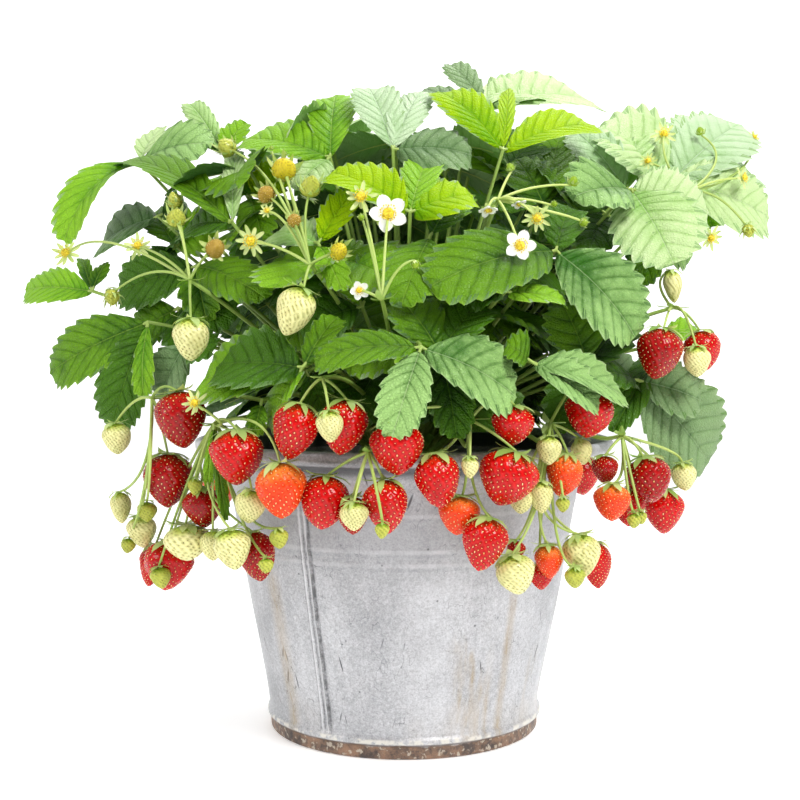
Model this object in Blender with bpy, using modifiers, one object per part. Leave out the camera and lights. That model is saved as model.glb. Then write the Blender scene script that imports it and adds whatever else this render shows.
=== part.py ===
"""Strawberry plant growing in a round galvanised steel bucket.

Metres, +Z up. The origin is on the bucket's axis at the ground, and the front faces -Y.
The bucket and the soil are turned shapes. Leaves, trusses and berries are laid out from where each
one is seen from the front: a row gives its place in that view in pixels, and its depth in
millimetres behind the rounded front of the foliage.
"""

import math
from collections import namedtuple

import bmesh
import bpy
from mathutils import Matrix, Vector

for old in list(bpy.data.objects):
    bpy.data.objects.remove(old, do_unlink=True)

# Driving dimensions, in metres
RIM_RADIUS = 0.124
RIM_TOP = 0.172
WALL_TOP_RADIUS = 0.1062
WALL_FOOT_RADIUS = 0.0800
FOOT_HEIGHT = 0.0065
WALL = 0.0016
SOIL_TOP = 0.1560
SEAM_ANGLE = math.radians(-32.5)
SEAM_WIDTH = 0.0060
GAP = 0.0004
LEAF_THICKNESS = 0.0009
PETIOLE_RADIUS = 0.0013
STALK_RADIUS = 0.0014
TURNED_STEPS = 28

# The eye that the pixel places are seen from: 60 mm lens on 36 mm, 800 pixels wide
EYE = Vector((-0.0024, -0.800, 0.228))
EYE_DOWN = math.radians(2.45)
EYE_PIXELS = 1333.0

CROWN_CENTRE = Vector((0.0, 0.0, 0.1500))
CROWN_RADIUS = 0.030
LOWEST_SPROUT = 0.42

plant = bpy.data.collections.new("strawberry plant")
helpers = bpy.data.collections.new("helpers")
bpy.context.scene.collection.children.link(plant)
bpy.context.scene.collection.children.link(helpers)
helpers.hide_render = True


def material(name, colour, roughness, metallic=0.0):
    made = bpy.data.materials.new(name)
    made.use_nodes = True
    shader = made.node_tree.nodes["Principled BSDF"]
    shader.inputs["Base Color"].default_value = (*colour, 1.0)
    shader.inputs["Roughness"].default_value = roughness
    shader.inputs["Metallic"].default_value = metallic
    made.diffuse_color = (*colour, 1.0)
    return made


STEEL = material("galvanised steel", (0.58, 0.60, 0.62), 0.45, 1.0)
SOIL = material("potting soil", (0.035, 0.022, 0.014), 0.95)
STEM = material("green stem", (0.34, 0.46, 0.10), 0.5)
LEAF = material("leaf", (0.07, 0.22, 0.03), 0.45)
RIPE = material("ripe strawberry", (0.62, 0.02, 0.015), 0.25)
ORANGE = material("half-ripe strawberry", (0.80, 0.16, 0.03), 0.3)
CREAM = material("unripe strawberry", (0.78, 0.76, 0.42), 0.35)


def face(photo_x, photo_y):
    """How far in front of the axis the rounded front of the foliage is, at a place in the view."""
    across = (photo_x - 404.0) / 380.0
    above = max(0.0, (400.0 - photo_y) / 335.0)
    return 0.150 - 0.170 * across**2 - 0.160 * above**1.7


def spot(photo_x, photo_y, behind):
    """The point seen at a place in the view, behind the foliage's front by so many millimetres."""
    toward = face(photo_x, photo_y) - behind / 1000.0
    across = (photo_x - 400.0) / EYE_PIXELS
    rise = (400.0 - photo_y) / EYE_PIXELS
    ray = Vector(
        (
            across,
            math.cos(EYE_DOWN) + rise * math.sin(EYE_DOWN),
            rise * math.cos(EYE_DOWN) - math.sin(EYE_DOWN),
        )
    )
    return EYE + ray * ((-toward - EYE.y) / ray.y)


def polar(degrees, radius, height):
    """A point round the bucket's axis: 0 degrees is the front, 90 the right, 180 the back."""
    turn = math.radians(degrees)
    return Vector((radius * math.sin(turn), -radius * math.cos(turn), height))


def put(name, mesh, paint, collection=plant):
    made = bpy.data.objects.new(name, mesh)
    collection.objects.link(made)
    mesh.materials.clear()
    mesh.materials.append(paint)
    if collection is helpers:
        made.hide_render = True
        made.display_type = "WIRE"
    return made


def join(target, *pieces, solver="MANIFOLD"):
    """Boolean unions that stay on the target as modifiers. Thin crossing blades need MANIFOLD."""
    for piece in pieces:
        union = target.modifiers.new("join " + piece.name, "BOOLEAN")
        union.operation = "UNION"
        union.solver = solver
        union.object = piece


def turned(name, profile, paint, steps=TURNED_STEPS):
    """A solid of revolution from (radius, height) pairs, by a Screw modifier."""
    mesh = bpy.data.meshes.new(name)
    points = [(radius, 0.0, height) for radius, height in profile]
    mesh.from_pydata(points, [(i, i + 1) for i in range(len(points) - 1)], [])
    made = put(name, mesh, paint)
    screw = made.modifiers.new("turn", "SCREW")
    screw.steps = steps
    screw.render_steps = steps
    screw.use_merge_vertices = True
    screw.merge_threshold = 0.00001
    screw.use_smooth_shade = True
    return made


def tube(name, points, radius, paint, collection=plant, tip_radius=None):
    """A round stem along the points, as a curve with filled caps made into a mesh."""
    curve = bpy.data.curves.new(name, "CURVE")
    curve.dimensions = "3D"
    curve.bevel_depth = radius
    curve.bevel_resolution = 0
    curve.use_fill_caps = True
    spline = curve.splines.new("POLY")
    spline.points.add(len(points) - 1)
    last = len(points) - 1
    for index, (knot, place) in enumerate(zip(spline.points, points)):
        knot.co = (*place, 1.0)
        if tip_radius:
            knot.radius = 1.0 + (tip_radius / radius - 1.0) * index / last
    guide = bpy.data.objects.new(name + " guide", curve)
    bpy.context.scene.collection.objects.link(guide)
    bpy.context.view_layer.update()
    evaluated = guide.evaluated_get(bpy.context.evaluated_depsgraph_get())
    mesh = bpy.data.meshes.new_from_object(evaluated)
    bpy.data.objects.remove(guide, do_unlink=True)
    shaped = bmesh.new()
    shaped.from_mesh(mesh)
    bmesh.ops.remove_doubles(shaped, verts=shaped.verts, dist=0.00001)
    bmesh.ops.recalc_face_normals(shaped, faces=shaped.faces)
    shaped.to_mesh(mesh)
    shaped.free()
    for polygon in mesh.polygons:
        polygon.use_smooth = True
    return put(name, mesh, paint, collection)


def bow(start, middle, end, count):
    """Points along a curve that starts and ends at the given points and leans to the middle one."""
    places = []
    for index in range(count + 1):
        t = index / count
        places.append(start * (1 - t) ** 2 + middle * (2 * t * (1 - t)) + end * t**2)
    return places


# The bucket: one sheet-metal shell with a flared, rolled rim, a crimped bead above a foot ring and
# a raised floor. The profile runs out over the floor, up the inside and down the outside.
bucket = turned(
    "bucket",
    (
        (0.0, FOOT_HEIGHT + 0.0020),
        (WALL_FOOT_RADIUS - 0.0024, FOOT_HEIGHT + 0.0020),
        (WALL_TOP_RADIUS - WALL, 0.1570),
        (WALL_TOP_RADIUS + 0.0006, 0.1622),
        (RIM_RADIUS - 0.0065, 0.1700),
        (RIM_RADIUS - 0.0020, RIM_TOP),
        (RIM_RADIUS, RIM_TOP - 0.0022),
        (RIM_RADIUS - 0.0006, RIM_TOP - 0.0062),
        (RIM_RADIUS - 0.0040, RIM_TOP - 0.0070),
        (WALL_TOP_RADIUS + 0.0040, 0.1607),
        (WALL_TOP_RADIUS, 0.1560),
        (WALL_FOOT_RADIUS + 0.0006, 0.0125),
        (WALL_FOOT_RADIUS + 0.0018, 0.0102),
        (WALL_FOOT_RADIUS + 0.0018, 0.0084),
        (WALL_FOOT_RADIUS, 0.0070),
        (WALL_FOOT_RADIUS, 0.0),
        (WALL_FOOT_RADIUS - 0.0030, 0.0),
        (WALL_FOOT_RADIUS - 0.0034, FOOT_HEIGHT),
        (0.0, FOOT_HEIGHT),
    ),
    STEEL,
)

# The folded seam that closes the bucket's wall, a flat strip up the left of the front.
wall_lean = math.atan2(WALL_TOP_RADIUS - WALL_FOOT_RADIUS, 0.1435)
wall_middle = (WALL_TOP_RADIUS + WALL_FOOT_RADIUS) / 2
seam_mesh = bpy.data.meshes.new("wall seam")
seam_shape = bmesh.new()
bmesh.ops.create_cube(seam_shape, size=1.0)
bmesh.ops.scale(seam_shape, vec=(SEAM_WIDTH, 0.0024, 0.1430), verts=seam_shape.verts)
bmesh.ops.rotate(
    seam_shape, matrix=Matrix.Rotation(wall_lean, 3, "X"), verts=seam_shape.verts
)
bmesh.ops.translate(seam_shape, vec=(0.0, -wall_middle, 0.0842), verts=seam_shape.verts)
bmesh.ops.rotate(
    seam_shape, matrix=Matrix.Rotation(SEAM_ANGLE, 3, "Z"), verts=seam_shape.verts
)
seam_shape.to_mesh(seam_mesh)
seam_shape.free()
join(bucket, put("wall seam", seam_mesh, STEEL, helpers), solver="EXACT")

# The potting soil fills the bucket to 15 mm under the rim, slightly mounded round the plant.
soil_foot = WALL_FOOT_RADIUS - 0.0024 - GAP
soil_edge = WALL_TOP_RADIUS - WALL - 0.0016
turned(
    "potting_soil",
    (
        (0.0, SOIL_TOP),
        (0.0450, SOIL_TOP - 0.0006),
        (0.0850, SOIL_TOP - 0.0030),
        (soil_edge - 0.0060, SOIL_TOP - 0.0055),
        (soil_edge - 0.0016, SOIL_TOP - 0.0090),
        (soil_foot - 0.0008, FOOT_HEIGHT + 0.0020 + GAP),
        (0.0, FOOT_HEIGHT + 0.0020 + GAP),
    ),
    SOIL,
    20,
)

# The crown: the short woody stem that every leaf and truss grows out of, a low dome on the soil.
crown_profile = []
for index in range(7):
    turn = math.radians(15 * index)
    height = CROWN_CENTRE.z + CROWN_RADIUS * math.cos(turn)
    if height > SOIL_TOP + GAP:
        crown_profile.append((CROWN_RADIUS * math.sin(turn), height))
crown_profile.append((CROWN_RADIUS * 0.975, SOIL_TOP + GAP))
crown_profile.append((0.0, SOIL_TOP + GAP))
turned("crown", crown_profile, STEM, 12)


def sprout(target):
    """Where a stem that heads for the target leaves the crown, on its upper half."""
    heading = (target - CROWN_CENTRE).normalized()
    heading.z = max(heading.z, LOWEST_SPROUT)
    return CROWN_CENTRE + heading.normalized() * (CROWN_RADIUS + GAP + 0.0012)


def climb(end, lift, count=3):
    """Points of a stem from the crown that rises and then leans out to its end."""
    level = Vector((end.x, end.y, 0.0)).length
    middle = CROWN_CENTRE.lerp(end, 0.55) + Vector((0.0, 0.0, lift * level))
    return bow(sprout(middle), middle, end, count)


# Leaves. Each has a long stalk from the crown and three toothed leaflets that spread from its end.
# A leaflet is a blade folded along its midrib: its tip, how many pixels wide it is seen, and which
# way its upper side looks, as (right, toward the viewer, up), where that differs from the leaf's.
Leaflet = namedtuple("Leaflet", "photo_x photo_y behind wide looks", defaults=(None,))
Leaf = namedtuple("Leaf", "name photo_x photo_y behind lift looks leaflets")

# Shares of a blade's length and of its width, how far each half is folded up and how far the blade
# is arched, as a share of its length. A blade seen edge on is taken as this share of its width.
BLADE_STATIONS = ((0.34, 0.84), (0.70, 0.94), (0.985, 0.30))
BLADE_FOLD = math.radians(16)
BLADE_ARCH = 0.07
EDGE_ON = 0.35


def blade(name, base, tip, width, looks):
    """An open blade surface, folded up along its midrib and arched, made solid by Solidify."""
    along = tip - base
    length = along.length
    along.normalize()
    normal = (looks - looks.dot(along) * along).normalized()
    side = along.cross(normal)
    rows = []
    for t, share in BLADE_STATIONS:
        middle = base + along * (length * t) + normal * (4 * BLADE_ARCH * length * t * (1 - t))
        half = width / 2 * share
        reach = side * (half * math.cos(BLADE_FOLD))
        raise_by = normal * (half * math.sin(BLADE_FOLD))
        rows.append((middle - reach + raise_by, middle, middle + reach + raise_by))
    points = [base] + [place for row in rows for place in row]
    faces = [(0, 2, 1), (0, 3, 2)]
    for index in range(len(rows) - 1):
        near = 1 + index * 3
        faces.append((near, near + 1, near + 4, near + 3))
        faces.append((near + 1, near + 2, near + 5, near + 4))
    mesh = bpy.data.meshes.new(name)
    mesh.from_pydata(points, [], faces)
    made = put(name, mesh, LEAF, helpers)
    solid = made.modifiers.new("thickness", "SOLIDIFY")
    solid.thickness = LEAF_THICKNESS
    solid.offset = 0.0
    solid.use_even_offset = False
    return made


def true_width(base, tip, looks, pixels):
    """The width in metres of a leaflet that is seen so many pixels wide."""
    along = (tip - base).normalized()
    normal = (looks - looks.dot(along) * along).normalized()
    side = along.cross(normal)
    middle = (base + tip) / 2
    view = (middle - EYE).normalized()
    flat_along = along - view * along.dot(view)
    flat_side = side - view * side.dot(view)
    seen = flat_side.cross(flat_along).length / flat_along.length
    return pixels * (middle.y - EYE.y) / EYE_PIXELS / max(seen, EDGE_ON)


def grow_leaf(name, hub, lift, leaflets):
    """A leaf from its hub and (tip, width, looks) rows: the stalk with its blades joined on."""
    path = climb(hub, lift)
    onward = (path[-1] - path[-2]).normalized() * 0.0012
    stalk = tube(name, path[:-1] + [hub + onward], PETIOLE_RADIUS, LEAF)
    blades = []
    for number, (tip, width, looks) in enumerate(leaflets):
        base = hub + (tip - hub).normalized() * 0.0009
        blades.append(blade(f"{name} leaflet {number}", base, tip, width, looks))
    join(stalk, *blades)


FRONT_LEAVES = (
    Leaf("leaf_front", 421, 347, 2, 0.34, (0.0, 0.60, 0.80), (
        Leaflet(314, 357, -4, 38), Leaflet(392, 437, -9, 54, (0.1, 0.75, 0.65)),
        Leaflet(518, 396, 0, 62))),
    Leaf("leaf_front_under", 440, 352, 24, 0.36, (0.0, 0.60, 0.80), (
        Leaflet(457, 437, 3, 46), Leaflet(400, 300, 34, 50),
        Leaflet(482, 302, 34, 52))),
    Leaf("leaf_front_left", 303, 367, 10, 0.34, (-0.1, 0.60, 0.80), (
        Leaflet(215, 366, 4, 64, (0.0, 0.75, 0.65)), Leaflet(338, 316, 26, 30),
        Leaflet(268, 427, 18, 28))),
    Leaf("leaf_left", 148, 322, 12, 0.20, (-0.3, 0.60, 0.75), (
        Leaflet(47, 373, -26, 56, (-0.1, 0.95, 0.3)),
        Leaflet(112, 427, 8, 56, (-0.1, 0.95, 0.3)), Leaflet(143, 398, 14, 22))),
    Leaf("leaf_far_left", 92, 291, 14, 0.12, (-0.1, 0.60, 0.80), (
        Leaflet(25, 290, -4, 38, (0.0, 0.9, 0.4)), Leaflet(82, 258, 16, 14),
        Leaflet(106, 262, 22, 14))),
    Leaf("leaf_left_pale", 139, 161, 28, 0.06, (-0.4, 0.60, 0.70), (
        Leaflet(64, 241, -16, 34, (-0.5, 0.75, 0.4)), Leaflet(206, 142, 30, 36),
        Leaflet(162, 127, 34, 18))),
    Leaf("leaf_left_long", 232, 222, 6, 0.06, (0.0, 0.60, 0.80), (
        Leaflet(121, 156, 4, 34), Leaflet(183, 230, 28, 38, (0.0, 0.9, 0.45)),
        Leaflet(236, 150, 20, 24))),
    Leaf("leaf_left_dark", 196, 266, 40, 0.16, (-0.2, 0.60, 0.75), (
        Leaflet(117, 294, 22, 52, (0.0, 0.9, 0.4)), Leaflet(206, 318, 34, 44),
        Leaflet(264, 297, 24, 46, (0.0, 0.8, 0.5)))),
    Leaf("leaf_top_left", 330, 157, 22, 0.02, (-0.1, 0.60, 0.80), (
        Leaflet(243, 139, 16, 42), Leaflet(336, 94, 30, 48),
        Leaflet(298, 186, 18, 32))),
    Leaf("leaf_top_blue", 393, 149, 8, 0.02, (0.0, 0.70, 0.70), (
        Leaflet(368, 87, 14, 48), Leaflet(421, 91, 16, 38),
        Leaflet(472, 154, 8, 44))),
    Leaf("leaf_yellow", 503, 150, 2, 0.02, (0.1, 0.60, 0.80), (
        Leaflet(438, 90, 4, 38), Leaflet(595, 125, -4, 32),
        Leaflet(508, 88, 12, 18))),
    Leaf("leaf_top", 484, 104, 42, 0.0, (0.0, 0.60, 0.80), (
        Leaflet(449, 64, 40, 24), Leaflet(534, 94, 46, 32),
        Leaflet(594, 102, 60, 34))),
    Leaf("leaf_centre", 410, 212, 4, 0.14, (0.0, 0.60, 0.80), (
        Leaflet(331, 171, 0, 44), Leaflet(473, 194, -2, 40),
        Leaflet(428, 158, 14, 42))),
    Leaf("leaf_right", 556, 250, 8, 0.16, (0.1, 0.65, 0.75), (
        Leaflet(433, 282, 4, 70, (0.0, 0.75, 0.65)), Leaflet(637, 336, 0, 74),
        Leaflet(568, 205, 16, 46))),
    Leaf("leaf_right_pale", 631, 189, 2, 0.10, (0.2, 0.60, 0.80), (
        Leaflet(674, 263, -10, 90, (0.0, 0.85, 0.5)),
        Leaflet(577, 194, 2, 54, (0.0, 0.8, 0.6)),
        Leaflet(710, 212, -12, 62, (0.1, 0.85, 0.5)))),
    Leaf("leaf_right_far", 672, 180, 28, 0.06, (0.3, 0.60, 0.75), (
        Leaflet(770, 218, 16, 64, (0.1, 0.9, 0.4)),
        Leaflet(742, 124, 22, 74, (0.1, 0.8, 0.6)), Leaflet(600, 126, 34, 62))),
    Leaf("leaf_right_low", 638, 380, 36, 0.22, (0.3, 0.65, 0.70), (
        Leaflet(710, 463, 18, 92, (0.1, 0.95, 0.3)),
        Leaflet(702, 400, 2, 52, (0.1, 0.9, 0.4)), Leaflet(588, 372, 34, 30))),
    Leaf("leaf_right_fold", 532, 362, 8, 0.30, (0.2, 0.60, 0.80), (
        Leaflet(626, 398, -6, 34), Leaflet(600, 409, -12, 38),
        Leaflet(508, 345, 8, 34))),
)

for leaf in FRONT_LEAVES:
    hub = spot(leaf.photo_x, leaf.photo_y, leaf.behind)
    leaflets = []
    for row in leaf.leaflets:
        right, toward, up = row.looks or leaf.looks
        looks = Vector((right, -toward, up))
        tip = spot(row.photo_x, row.photo_y, row.behind)
        leaflets.append((tip, true_width(hub, tip, looks, row.wide), looks))
    grow_leaf(leaf.name, hub, leaf.lift, leaflets)

# Leaves at the back, which the front view hides: place round the axis, reach and height of the hub,
# and how far the leaflets spread and drop.
BackLeaf = namedtuple("BackLeaf", "name degrees reach height lift length width drop")

BACK_LEAVES = (
    BackLeaf("leaf_back_left", 236, 0.118, 0.262, 0.16, 0.066, 0.052, 0.030),
    BackLeaf("leaf_back_low", 208, 0.114, 0.216, 0.26, 0.060, 0.050, 0.030),
    BackLeaf("leaf_back_high", 184, 0.082, 0.318, 0.06, 0.068, 0.054, 0.020),
    BackLeaf("leaf_back", 160, 0.108, 0.244, 0.20, 0.060, 0.052, 0.028),
    BackLeaf("leaf_back_right", 126, 0.118, 0.268, 0.16, 0.066, 0.052, 0.030),
)

for leaf in BACK_LEAVES:
    hub = polar(leaf.degrees, leaf.reach, leaf.height)
    tips = []
    for turn, share in ((-78, 0.85), (0, 1.0), (78, 0.85)):
        outward = polar(leaf.degrees + turn, leaf.length * share, -leaf.drop * share)
        tips.append((hub + outward, leaf.width, polar(leaf.degrees, 0.55, 0.80)))
    grow_leaf(leaf.name, hub, leaf.lift, tips)


# Berries: the centre in the view, width and height in pixels, and how far the tip swings to the
# right in degrees. The calyx, a star of sepals, is formed in one piece with its berry.
Berry = namedtuple("Berry", "name photo_x photo_y wide high swing behind paint")

BERRIES = (
    Berry("berry_01", 181, 420, 54, 57, 8, 2, RIPE),
    Berry("berry_02", 237, 458, 56, 55, 0, -4, RIPE),
    Berry("berry_03", 294, 432, 47, 57, -12, 0, RIPE),
    Berry("berry_04", 343, 428, 50, 55, -8, 8, RIPE),
    Berry("berry_05", 397, 449, 56, 53, 3, 4, RIPE),
    Berry("berry_06", 438, 481, 48, 55, 6, 4, RIPE),
    Berry("berry_07", 484, 545, 46, 54, -12, 0, RIPE),
    Berry("berry_08", 507, 479, 59, 56, -20, 0, RIPE),
    Berry("berry_10", 589, 415, 49, 46, -6, 8, RIPE),
    Berry("berry_11", 564, 476, 39, 43, -10, 4, ORANGE),
    Berry("berry_13", 659, 354, 49, 51, -10, 0, RIPE),
    Berry("berry_15", 612, 503, 37, 37, 0, -2, ORANGE),
    Berry("berry_16", 649, 480, 47, 46, 14, -4, RIPE),
    Berry("berry_17", 664, 512, 41, 44, 0, 19, RIPE),
    Berry("berry_18", 168, 481, 50, 54, 0, 4, RIPE),
    Berry("berry_19", 281, 491, 50, 56, 2, -4, ORANGE),
    Berry("berry_20", 324, 503, 52, 54, -6, 12, RIPE),
    Berry("berry_21", 386, 507, 48, 54, 6, 6, RIPE),
    Berry("berry_22", 257, 557, 40, 50, 10, 10, RIPE),
)


def berry_radius(t):
    """The share of the full half-width at a share of the way from the calyx to the tip."""
    if t < 0.36:
        return math.sqrt(max(0.0, 1.0 - (1.0 - t / 0.36) ** 2))
    return max(0.0, 1.0 - ((t - 0.36) / 0.64) ** 1.6) ** 0.64


def berry_frame(row):
    """Downward axis, width and height in metres of a berry, and the point of its calyx."""
    centre = spot(row.photo_x, row.photo_y, row.behind)
    scale = (centre.y - EYE.y) / EYE_PIXELS
    lean = math.radians(row.swing)
    down = Vector((math.sin(lean), 0.0, -math.cos(lean)))
    high = row.high * scale
    return down, row.wide * scale, high, centre - down * (high / 2)


def berry_body(shape, around, rings, top, down, wide, high):
    """Adds a berry-shaped closed body to a bmesh: a sphere drawn out to the berry's profile."""
    made = bmesh.ops.create_uvsphere(shape, u_segments=around, v_segments=rings, radius=1.0)
    turn = Vector((0.0, 0.0, -1.0)).rotation_difference(down).to_matrix()
    for vertex in made["verts"]:
        t = min(1.0, max(0.0, (1.0 - vertex.co.z) / 2))
        level = Vector((vertex.co.x, vertex.co.y, 0.0))
        if level.length > 1e-6:
            level = level.normalized() * (wide / 2 * berry_radius(t))
        vertex.co = top + turn @ Vector((level.x, level.y, -high * t))


def calyx(name, top, down, reach, points):
    """A flat star of sepals, lying on the berry's top."""
    mesh = bpy.data.meshes.new(name)
    turn = Vector((0.0, 0.0, -1.0)).rotation_difference(down).to_matrix()
    around = []
    for index in range(points * 2):
        angle = math.pi * index / points
        radius = reach if index % 2 == 0 else reach * 0.42
        around.append((radius * math.cos(angle), radius * math.sin(angle)))
    shape = bmesh.new()
    upper = [shape.verts.new(top + turn @ Vector((x, y, 0.0010))) for x, y in around]
    lower = [shape.verts.new(top + turn @ Vector((x, y, -0.0008))) for x, y in around]
    count = len(around)
    shape.faces.new(upper)
    shape.faces.new(lower[::-1])
    for index in range(count):
        after = (index + 1) % count
        shape.faces.new((lower[index], lower[after], upper[after], upper[index]))
    shape.to_mesh(mesh)
    shape.free()
    return put(name, mesh, STEM, helpers)


def grow_berry(row):
    """A berry with its calyx; gives the place just above, where its stem ends."""
    down, wide, high, top = berry_frame(row)
    mesh = bpy.data.meshes.new(row.name)
    shape = bmesh.new()
    berry_body(shape, 8, 5, top, down, wide, high)
    shape.to_mesh(mesh)
    shape.free()
    for polygon in mesh.polygons:
        polygon.use_smooth = True
    made = put(row.name, mesh, row.paint)
    join(made, calyx(row.name + " calyx", top, down, wide * 0.40, 5))
    return top - down * (0.0020 + GAP)


tops = {row.name: grow_berry(row) for row in BERRIES}


# Trusses: a stalk from the crown to a fork, and thin stems from there. Each stem ends at a berry, or
# bears a small unripe fruit or a flower head that is one piece with it.
Twig = namedtuple("Twig", "bears photo_x photo_y behind size arch by")
Truss = namedtuple("Truss", "name photo_x photo_y behind lift twigs")


def twig(bears, photo_x=0, photo_y=0, behind=0, size=0, arch=0.10, by=None):
    return Twig(bears, photo_x, photo_y, behind, size, arch, by)


TRUSSES = (
    Truss("truss_left_high", 190, 280, -2, 0.10, (
        twig("fruit", 191, 340, -4, 38, 0.0), twig("flower", 138, 246, 2, 13),
        twig("fruit", 114, 298, -6, 17), twig("fruit", 174, 216, -10, 22, 0.3),
        twig("fruit", 215, 249, -4, 24, 0.2))),
    Truss("truss_centre_left", 310, 265, -2, 0.26, (
        twig("fruit", 294, 312, -4, 40, 0.1), twig("flower", 251, 243, -4, 22),
        twig("fruit", 337, 252, -4, 20), twig("fruit", 284, 172, -2, 26, 0.1))),
    Truss("truss_centre", 382, 300, 0, 0.20, (
        twig("flower", 388, 214, -14, 30), twig("fruit", 415, 264, -10, 18, 0.3),
        twig("flower", 359, 290, -6, 20))),
    Truss("truss_centre_right", 498, 200, -2, 0.14, (
        twig("flower", 519, 246, -12, 26), twig("fruit", 488, 212, -8, 18),
        twig("fruit", 570, 184, -4, 18))),
    Truss("truss_right_high", 690, 192, 8, 0.22, (
        twig("flower", 664, 134, -2, 18), twig("flower", 743, 178, -12, 16),
        twig("fruit", 748, 229, -8, 14), twig("fruit", 701, 134, 2, 14))),
    Truss("truss_left_low", 152, 398, 0, 0.20, (
        twig("berry_01", arch=0.4), twig("berry_18", arch=0.3), twig("fruit", 117, 439, -8, 28, 0.3),
        twig("fruit", 124, 509, 0, 24, by=(145, 462, -20)),
        twig("fruit", 143, 532, 4, 31, by=(148, 468, -23)))),
    Truss("truss_left_hang", 214, 424, 8, 0.24, (
        twig("berry_02", arch=0.3), twig("berry_19", by=(256, 423, 4)),
        twig("berry_22", by=(203, 478, 8)), twig("fruit", 187, 543, 4, 42, 0.1),
        twig("fruit", 233, 550, -15, 37, by=(207, 480, 2)), twig("fruit", 166, 572, 12, 44, 0.1))),
    Truss("truss_front_left", 322, 378, 6, 0.22, (
        twig("berry_03", arch=0.2), twig("berry_04", arch=0.2),
        twig("fruit", 330, 427, -13, 29, 0.2))),
    Truss("truss_front", 368, 452, 8, 0.40, (
        twig("berry_20"), twig("berry_21", arch=0.2), twig("fruit", 354, 518, -2, 28))),
    Truss("truss_front_right", 470, 420, 14, 0.38, (
        twig("berry_05", arch=0.35), twig("berry_06", by=(450, 445, 12)), twig("berry_08"),
        twig("fruit", 513, 426, 6, 39, 0.5), twig("fruit", 459, 516, 15, 40, by=(467, 470, 12)),
        twig("berry_07", by=(472, 478, 12)))),
    Truss("truss_right_low", 550, 424, 14, 0.36, (
        twig("berry_10", by=(576, 384, 14)), twig("berry_11", arch=0.25),
        twig("fruit", 582, 557, -2, 38, by=(540, 500, 8)), twig("fruit", 546, 450, 0, 26),
        twig("fruit", 516, 575, 0, 40, by=(538, 500, 8)),
        twig("fruit", 549, 562, 6, 32, by=(539, 500, 10)))),
    Truss("truss_right_hang", 622, 436, 14, 0.30, (
        twig("berry_15", by=(622, 470, 8)), twig("berry_16", arch=0.3),
        twig("berry_17", by=(654, 462, 19)), twig("fruit", 605, 470, 10, 25),
        twig("fruit", 684, 477, 4, 25, by=(668, 450, 8)),
        twig("fruit", 636, 521, -8, 15, by=(628, 490, -6)))),
    Truss("truss_right", 672, 308, 10, 0.16, (
        twig("berry_13", arch=0.2), twig("fruit", 703, 351, -6, 36, 0.3),
        twig("fruit", 697, 362, -20, 27, 0.4), twig("fruit", 673, 287, 4, 22, by=(660, 284, 18)))),
)


def over_rim(fork):
    """Points of a stalk from the crown to its fork, kept clear of the rim where it hangs outside."""
    level = Vector((fork.x, fork.y, 0.0))
    if fork.z > RIM_TOP + 0.022:
        return None
    outward = level.normalized()
    crest = outward * (RIM_RADIUS - 0.012) + Vector((0.0, 0.0, RIM_TOP + 0.0085))
    lip = outward * (RIM_RADIUS + 0.006) + Vector((0.0, 0.0, RIM_TOP + 0.0040))
    middle = outward * 0.066 + Vector((0.0, 0.0, RIM_TOP + 0.0200))
    return [sprout(middle), middle, crest, lip, fork]


# Trusses at the back: place round the axis, and for each fruit how far it is turned from there, its
# distance from the axis, the height of its middle and its width in millimetres.
BackTruss = namedtuple("BackTruss", "name degrees fruits")

BACK_TRUSSES = (
    BackTruss("truss_back_left", 214, (
        (-13, 0.143, 0.150, 25), (3, 0.147, 0.124, 27), (14, 0.142, 0.156, 19), (24, 0.144, 0.130, 23))),
    BackTruss("truss_back_right", 147, (
        (-22, 0.143, 0.140, 24), (-8, 0.144, 0.157, 20), (5, 0.147, 0.120, 26), (17, 0.143, 0.144, 25))),
)


def small_head(name, top, down, wide, high, paint):
    """A small fruit or flower head that is one piece with its stem."""
    mesh = bpy.data.meshes.new(name)
    shape = bmesh.new()
    berry_body(shape, 6, 4, top, down, wide, high)
    shape.to_mesh(mesh)
    shape.free()
    return put(name, mesh, paint, helpers)


def grow_stem(name, fork, middle, end, count):
    """A thin stem from the fork of a truss to its end."""
    return tube(name, bow(fork, middle, end, count), 0.0010, STEM, helpers, 0.0008)


DOWN = Vector((0.0, 0.0, -1.0))
FLOWER_BACK = Vector((0.05, -0.85, 0.45)).normalized()
SINK = 0.0012

for truss in BACK_TRUSSES:
    fork = polar(truss.degrees, 0.1310, 0.1840)
    stalk = tube(truss.name, over_rim(fork), STALK_RADIUS, STEM)
    stems = []
    heads = []
    for number, (turn, reach, height, size) in enumerate(truss.fruits):
        name = f"{truss.name} stem {number}"
        wide = size / 1000.0
        top = polar(truss.degrees + turn, reach, height) - DOWN * (wide * 0.55)
        end = top + DOWN * SINK
        middle = fork.lerp(end, 0.5) + polar(truss.degrees + turn, 0.006, 0.006)
        stems.append(grow_stem(name, fork, middle, end, 2))
        heads.append(small_head(name + " head", top, DOWN, wide, wide * 1.1, RIPE))
    join(stalk, *reversed(stems), *heads)

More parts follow.
